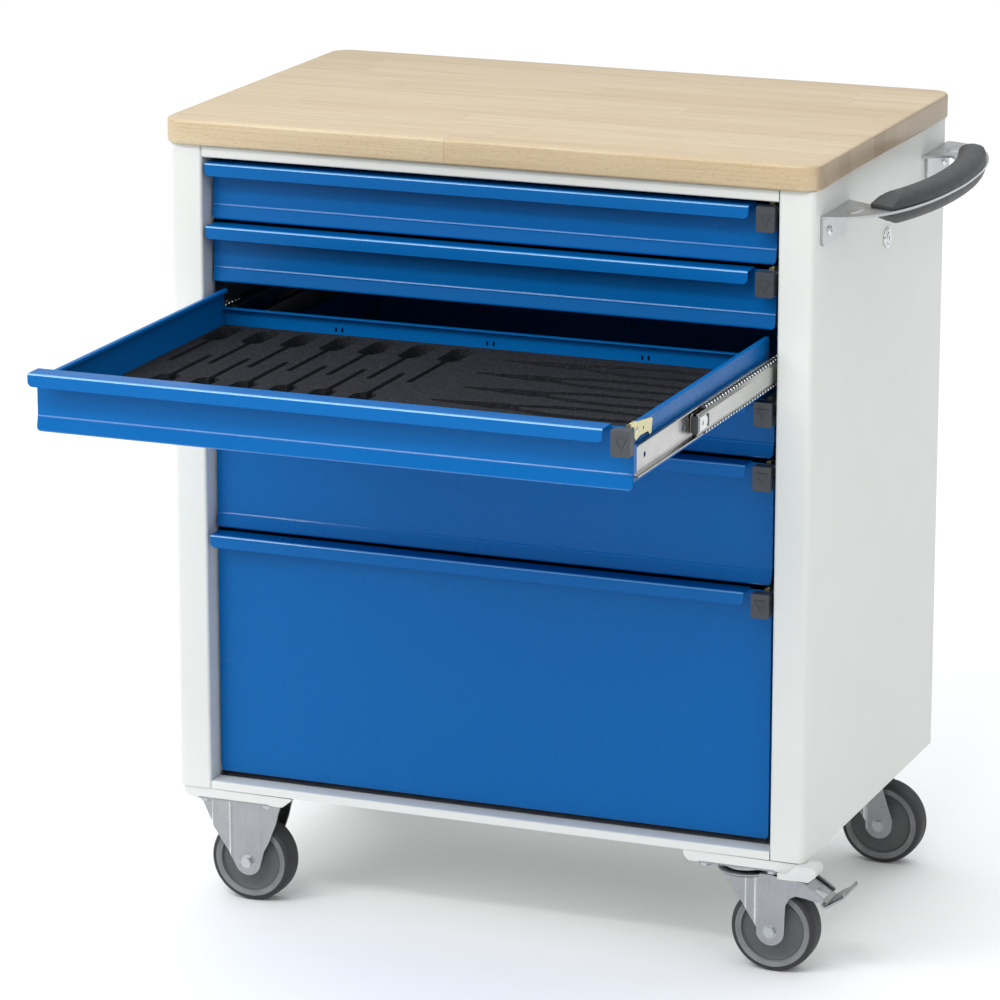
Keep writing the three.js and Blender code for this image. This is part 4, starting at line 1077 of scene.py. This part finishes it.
def handle_strip():
    """The flat bow: its outer and inner edges run from the front foot to the rear one."""
    outer = [Vector((GAP, 22))] + bezier((8, 22), (70, 36), (94, 130), (96, HANDLE_MIDDLE), 24)
    inner = [Vector((GAP, 127))] + bezier((32, 108), (52, 140), (60, 185), (60, HANDLE_MIDDLE), 24)
    edges = []
    for path in (outer, inner):
        half = resample(path, 40)
        back = [Vector((p.x, 2 * HANDLE_MIDDLE - p.y)) for p in half[::-1]]
        edges.append([Vector((BODY_WIDTH + p.x, p.y)) for p in half + back[1:]])
    low, high = HANDLE_Z, HANDLE_Z + HANDLE_SHEET
    return loft([[(a.x, a.y, low), (a.x, a.y, high), (b.x, b.y, high), (b.x, b.y, low)]
                 for a, b in zip(*edges)])


def make_handle():
    """A bow of zinc-plated steel on two tabs, with pressed seats and a two-shell grip."""
    tabs, seats = [], []
    for side in (-1, 1):
        ys = sorted((HANDLE_MIDDLE + side * 243, HANDLE_MIDDLE + side * 153))
        tab = rectangle(ys, (HANDLE_Z - 32, HANDLE_Z + 1), [7, 7, 0.01, 0.01], 6)
        tabs.append(prism("x", tab, (BODY_WIDTH + GAP, BODY_WIDTH + GAP + HANDLE_SHEET)))
        rings = []
        for size, lift in ((1.1, -0.2), (1.0, 0.3), (0.86, 0.9), (0.5, 1.1)):
            turns = [2 * math.pi * k / 32 for k in range(32)]
            rings.append([(BODY_WIDTH + 25 + 9 * size * math.cos(t),
                           HANDLE_MIDDLE + side * 196 + 19 * size * math.sin(t),
                           HANDLE_Z + HANDLE_SHEET + lift) for t in turns])
        seats.append(loft(rings))
    piece("handle_bow", [handle_strip()], ZINC, "cabinet", ["handle_bracket"], "zinc", unite=tabs,
          bevel=0.6, segments=3)
    piece("handle_seats", seats, ZINC, "cabinet", slot="zinc", sharp=60)
    for k, side in enumerate((-1, 1)):
        centre = (HANDLE_MIDDLE + side * 220, HANDLE_Z - 17)
        screw(f"handle_screw_{k}", centre, BODY_WIDTH + GAP + HANDLE_SHEET, 6)
    for name, sign in (("upper", 1), ("lower", -1)):
        make_grip_shell(name, sign)


def grip_centre(t):
    """The grip's centre line, t from 0 at the front end to 1 at the back end."""
    y = HANDLE_MIDDLE + HANDLE_GRIP_REACH * (2 * t - 1)
    return Vector((BODY_WIDTH + 78.5 - 28.5 * abs(2 * t - 1) ** 2.2, y))


def make_grip_shell(name, sign):
    """Half of the grip: a rounded section whose ends are cut on a long slant."""
    flat = HANDLE_Z + HANDLE_SHEET + GAP if sign > 0 else HANDLE_Z - GAP
    width, rise, stations, points = 17.3, 16.8, 72, 18
    rings = []
    for k in range(stations + 1):
        t = k / stations
        here = grip_centre(t)
        along = (grip_centre(min(t + 0.01, 1)) - grip_centre(max(t - 0.01, 0))).normalized()
        across = Vector((along.y, -along.x))
        end = min(t, 1 - t) * 2 * HANDLE_GRIP_REACH
        slant = min(1, 0.22 + 0.78 * end / 24)
        waist = 1 - 0.1 * max(0, 1 - end / 30)
        row = []
        for i in range(points + 1):
            angle = math.pi * i / points
            side = across * (width * waist * math.cos(angle))
            height = min(rise * math.sin(angle) ** 0.85, rise * slant)
            row.append((here.x + side.x, here.y + side.y, flat + sign * height))
        rings.append(row)
    piece(f"handle_shell_{name}", [loft(rings)], GRIP, "cabinet", [f"handle_grip_{name}"],
          "dark_plastic", bevel=0.8, sharp=40, segments=3)


def make_lock():
    face = BODY_WIDTH + GAP
    collar = [(7.3, face - 14), (7.3, face + 2.1), (8.0, face + 2.7), (10.6, face + 2.7),
              (11.6, face + 2.2), (12, face + 1.2), (12, face), (9, face), (9, face - 14)]
    piece("lock_collar", [lathe("x", collar, LOCK, 56)], CHROME, "cabinet", ["lock_housing"], "chrome",
          sharp=35)
    plug = rod("x", 7, (face - 13, face + 3.2), LOCK, 48, chamfer=0.5)
    y, z = LOCK
    key = [block((face - 6, face + 5), (y - 0.8, y + 0.8), (z - 4, z + 4)),
           block((face + 1, face + 5), (y - 1.9, y + 1.9), (z - 1, z + 1))]
    piece("lock_core", [plug], CHROME, "lock_plug", ["lock_plug"], "chrome", cut=key, bevel=0.15)


# ---- casters


def plate_solids(x, y):
    """Mounting plate with rounded corners, and the heads of its four bolts."""
    outline = rectangle((x - 52.5, x + 52.5), (y - 40, y + 40), 6)
    plate = prism("z", outline, (PLATE_TOP - 3, PLATE_TOP))
    bolts = []
    for dx in (-41, 41):
        for dy in (-30, 30):
            at = (x + dx, y + dy)
            bolts.append(hexagon("z", 7.2, (PLATE_TOP - 7.4, PLATE_TOP - 3.6), at))
            bolts.append(rod("z", 8.6, (PLATE_TOP - 4.2, PLATE_TOP - 2.9), at, 28, 0.2))
    return plate, bolts


def pressed_leg(columns, relief, side):
    """A fork leg from columns of (x, lower z, upper z), its face pushed out by relief(x)."""
    thick, rows = 2.5, 6
    outer, inner = [], []
    for x, low, high in columns:
        y = side * (FORK_HALF + thick + relief(x))
        for r in range(rows + 1):
            z = low + (high - low) * r / rows
            outer.append((x, y, z))
            inner.append((x, y - side * thick, z))
    n, base = rows + 1, len(outer)
    faces = []
    for i in range(len(columns) - 1):
        here, after = i * n, (i + 1) * n
        for r in range(rows):
            a, b, c, d = here + r, after + r, after + r + 1, here + r + 1
            faces += [(a, b, c, d), (base + d, base + c, base + b, base + a)]
        for r in (0, rows):
            faces.append((here + r, after + r, base + after + r, base + here + r))
    for start in (0, base - n):
        for a in range(start, start + rows):
            faces.append((a, a + 1, base + a + 1, base + a))
    return outer + inner, faces


def interpolate(points, x):
    for (x0, z0), (x1, z1) in zip(points, points[1:]):
        if x0 <= x <= x1:
            return z0 + (z1 - z0) * (x - x0) / (x1 - x0)
    return points[-1][1] if x > points[-1][0] else points[0][1]


def fork_legs(lower, upper, relief, x, y):
    """Two mirrored legs between a lower and an upper edge, with a pressed relief measured from x."""
    xs = {p[0] for p in lower + upper} | {x + d for d, _ in relief}
    xs = sorted(px for px in xs if lower[0][0] <= px <= lower[-1][0])
    columns = [(px, interpolate(lower, px), interpolate(upper, px)) for px in xs]
    return [moved(pressed_leg(columns, lambda px: interpolate(relief, px - x), side), (0, y, 0))
            for side in (-1, 1)]


def tip(axle, start, end):
    """The rounded end of a fork leg round the axle."""
    return [tuple(p) for p in arc((axle, WHEEL_R), 17, start, end, 14)]


FIXED_RELIEF = [(-53, -2.7), (-38.5, -2.4), (-36.5, -0.8), (-14, 0.8), (-11.8, 2.5), (-9, 1.2),
                (26, 1.2), (29, 0.5), (53, -2.7)]
SWIVEL_RELIEF = [(-27, -2.4), (4.5, -2.2), (6.3, -1.2), (11, -0.9), (16.6, 0.3), (19.6, 2.5),
                 (22.5, 1.2), (50, 1.2), (58, 0.3), (102, 0.3)]


def make_wheel(name, body, x, y):
    """Tyre, its lip ring, hub with a dished disc, and bearing caps."""
    tyre = [(45.8, -15.6), (46.2, -16.4), (48.4, -15.8), (50.6, -13.8), (51.7, -10.6), (52, -6),
            (52, 0)]
    lip = [(38.4, -14.0), (39.0, -15.4), (41, -15.2), (41.6, -15.7), (45.4, -16.3), (46, -15.6)]
    disc = [(5.4, -17.5), (12.5, -17.5), (14, -16.3), (14.6, -12.6), (17, -11.2), (30, -10.6),
            (35.6, -10.4), (37.2, -11.2), (38.6, -14.2)]

    def turned(profile):
        both = profile + [(r, -h) for r, h in profile[::-1] if h]
        return lathe("y", [(r, y + h) for r, h in both], (x, WHEEL_R), 96)

    piece(f"{name}_tyre", [turned(tyre)], TYRE, body, [f"{name}_wheel"], "tyre", sharp=40)
    piece(f"{name}_lip", [turned(lip)], LIP, body, slot="tyre", sharp=35)
    piece(f"{name}_hub", [turned(disc)], HUB, body, slot="tyre", sharp=40)
    cap = [(5.4, 17.4), (9.8, 17.4), (10.4, 17.9), (10.2, 18.0), (5.4, 18.0)]
    caps = [lathe("y", [(r, y + side * h) for r, h in cap], (x, WHEEL_R), 48) for side in (-1, 1)]
    piece(f"{name}_cap", caps, DARK, body, slot="dark_plastic", sharp=35)


def make_axle(name, body, x, y):
    """Wheel bolt with hexagonal heads that have a dished face, on washers."""
    face = FORK_HALF + 2.8
    solids = [rod("y", 5, (y - face - 0.5, y + face + 0.5), (x, WHEEL_R), 28, 0.3)]
    marks = []
    for side in (-1, 1):
        washer = sorted((y + side * (face + 0.1), y + side * (face + 1.3)))
        nut = sorted((y + side * (face + 1.3), y + side * (face + 5)))
        solids.append(rod("y", 8.4, washer, (x, WHEEL_R), 36, 0.2))
        solids.append(hexagon("y", 7.4, nut, (x, WHEEL_R)))
        dish = [(0, 3.6), (2.8, 3.9), (5.2, 4.7), (5.8, 6), (0, 6)]
        marks.append(lathe("y", [(r, y + side * (face + h)) for r, h in dish], (x, WHEEL_R), 36))
    piece(f"{name}_bolt", solids, ZINC, body, [f"{name}_axle"], "zinc", cut=marks, bevel=0.35)


def make_fixed_caster(name, axle, y):
    """Plate, two pressed legs that reach down from it, and the wheel ahead of the plate's centre."""
    x = axle - FIXED_AXLE
    lower = [(x - 52.5, 126), (x - 50, 121), (x - 44, 108), (x - 36, 92), (x - 24, 74), (x - 12.6, 59)]
    lower += tip(axle, 202, 345)
    lower += [(x + 31, 66), (x + 38, 80), (x + 46, 102), (x + 50, 118), (x + 52.5, 126)]
    lower.sort()
    legs = fork_legs(lower, [(x - 60, 132), (x + 60, 132)], FIXED_RELIEF, x, y)
    plate, bolts = plate_solids(x, y)
    piece(f"{name}_plate", [plate], FORK_ZINC, "cabinet", [f"{name}_fork"], "zinc", bevel=0.6)
    pressed = piece(f"{name}_legs", legs, FORK_ZINC, "cabinet", slot="zinc", bevel=0.35, sharp=6)
    # ridges facing the left-hand light get the lighter zinc: a painted highlight
    paint_highlight_faces(pressed, FORK_RIDGE_HIGHLIGHT, is_ridge)
    piece(f"{name}_plate_bolts", bolts, ZINC, "cabinet", slot="zinc", bevel=0.4)
    make_axle(name, "cabinet", axle, y)
    make_wheel(name, f"{name}_wheel", axle, y)


def make_swivel_caster(name, axle, y, braked):
    """Plate and ball race on the base; fork head, legs and wheel turn under it."""
    x, top = axle - SWIVEL_TRAIL, HEAD_TOP
    body = f"{name}_swivel"
    plate, bolts = plate_solids(x, y)
    race = [(0, top + 0.4), (25, top + 0.4), (27, top + 2), (27, top + 5), (24, top + 7.4),
            (22, PLATE_TOP - 2.9), (0, PLATE_TOP - 2.9)]
    rivet = [(0, 112), (9, 112), (11, 113.6), (11, 115), (7, 115.6), (7, top + 1), (0, top + 1)]
    piece(f"{name}_top_plate", [plate], FORK_ZINC, "cabinet", [f"{name}_plate"], "zinc", bevel=0.6)
    piece(f"{name}_race", [lathe("z", race, (x, y), 64)], ZINC, "cabinet", slot="zinc",
          unite=[lathe("z", rivet, (x, y), 40)], bevel=0.3, sharp=40)
    piece(f"{name}_plate_bolts", bolts, ZINC, "cabinet", slot="zinc", bevel=0.4)

    lower = [(x - 27, 120), (x - 14, 104), (x, 84), (x + 12, 66), (x + 20.4, 56)]
    lower += tip(axle, 196, 360)
    if braked:
        lower += [(x + 54.4, 70), (x + 55, 86), (x + 60, 95), (x + 67, 99), (x + 80, 97.5),
                  (x + 92, 95), (x + 99, 95.4), (x + 102, 97.6)]
        upper = [(x - 27, top), (x + 37, top), (x + 48, 119.6), (x + 76, 116.4), (x + 90, 108),
                 (x + 102, 99.4)]
    else:
        lower += [(x + 54.2, 58)]
        upper = [(x - 27, top), (x + 35, top), (x + 38, 112), (x + 44, 92), (x + 50, 74),
                 (x + 54.2, 60)]
    legs = fork_legs(sorted(set(lower)), upper, SWIVEL_RELIEF, x, y)
    head = [(7.3, top - 6), (24, top - 6), (31, top - 5), (34, top - 2.6), (34, top - 1), (32.6, top),
            (7.3, top)]
    half = FORK_HALF + 1
    web = block((x - 26, x + 35), (y - half, y + half), (top - 5.4, top - 0.3))
    hole = rod("z", 7.3, (top - 10, top + 4), (x, y), 32)
    piece(f"{name}_head", [lathe("z", head, (x, y), 64)], FORK_ZINC, body, [f"{name}_fork"], "zinc",
          unite=[web], cut=[hole], bevel=0.4, sharp=35)
    pressed = piece(f"{name}_legs", legs, FORK_ZINC, body, slot="zinc", bevel=0.35, sharp=6)
    # ridges facing the left-hand light get the lighter zinc: a painted highlight
    paint_highlight_faces(pressed, FORK_RIDGE_HIGHLIGHT, is_ridge)
    make_axle(name, body, axle, y)
    make_wheel(name, f"{name}_wheel", axle, y)
    if braked:
        make_pedal(name, x + 72, y, 106)


def make_pedal(name, x, y, z):
    """Foot pedal: a channel on its pin, a ribbed tread plate and a turned-up toe edge."""
    side = ring([(x - 6, z - 6), (x + 6, z - 7), (x + 33, z - 16), (x + 33, z - 12), (x + 6, z + 5),
                 (x - 6, z + 5)], [3, 3, 1, 1, 3, 4], 4)
    channel = prism("y", side, (y - 17, y + 17))
    hollow = block((x - 10, x + 27), (y - 14, y + 14), (z - 20, z - 1))
    body = f"{name}_brake"
    pin = rod("y", 3, (y - 19.6, y + 19.6), (x, z), 24, 0.3)
    piece(f"{name}_pedal_channel", [channel], FORK_ZINC, body, [f"{name}_brake_pedal"], "zinc",
          unite=[pin], cut=[hollow], bevel=0.6)
    path = [(x + 52.5, z + 3.6), (x + 54.6, z + 0.2), (x + 31, z - 15.6), (x + 27.5, z - 12)]
    tread = prism("y", sheet(rounded(path, [1.6, 3], 5), 2.2), (y - 25, y + 25))
    ribs = []
    slope = Vector((23.6, 15.8)).normalized()
    rise = Vector((-slope.y, slope.x)) * 1.2
    for k in range(7):
        start = Vector((x + 33, z - 12.4)) + slope * (3.2 * k)
        outline = [start, start + slope * 1.5, start + slope * 1.3 + rise, start + slope * 0.2 + rise]
        ribs.append(prism("y", outline, (y - 21, y + 21)))
    piece(f"{name}_pedal_tread", [tread], FORK_ZINC, body, slot="zinc", bevel=0.5, segments=3)
    piece(f"{name}_pedal_ribs", ribs, FORK_ZINC, body, slot="zinc", bevel=0.25)


def make_casters():
    for name in ("caster_front_left", "caster_rear_left", "caster_front_right", "caster_rear_right"):
        low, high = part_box(f"{name}_wheel")
        axle = ((low.x + high.x) / 2 - CORNER.x) / MM
        y = ((low.y + high.y) / 2 - CORNER.y) / MM
        if name.endswith("left"):
            make_fixed_caster(name, axle, y)
        else:
            make_swivel_caster(name, axle, y, braked=name == "caster_front_right")


# ---- the scene

DRAWER_TOPS = [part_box(f"drawer_{n}_tray")[1].z / MM for n in range(1, 7)]

make_camera()
make_stage()
make_worktop()
make_body()
make_beam("left", BEAM_INSET)
make_beam("right", right_x(BEAM_INSET + BEAM_WIDTH))
make_bumper()
for side_name in PLANS:
    make_rack(side_name)
make_drawers()
make_handle()
make_lock()
make_casters()
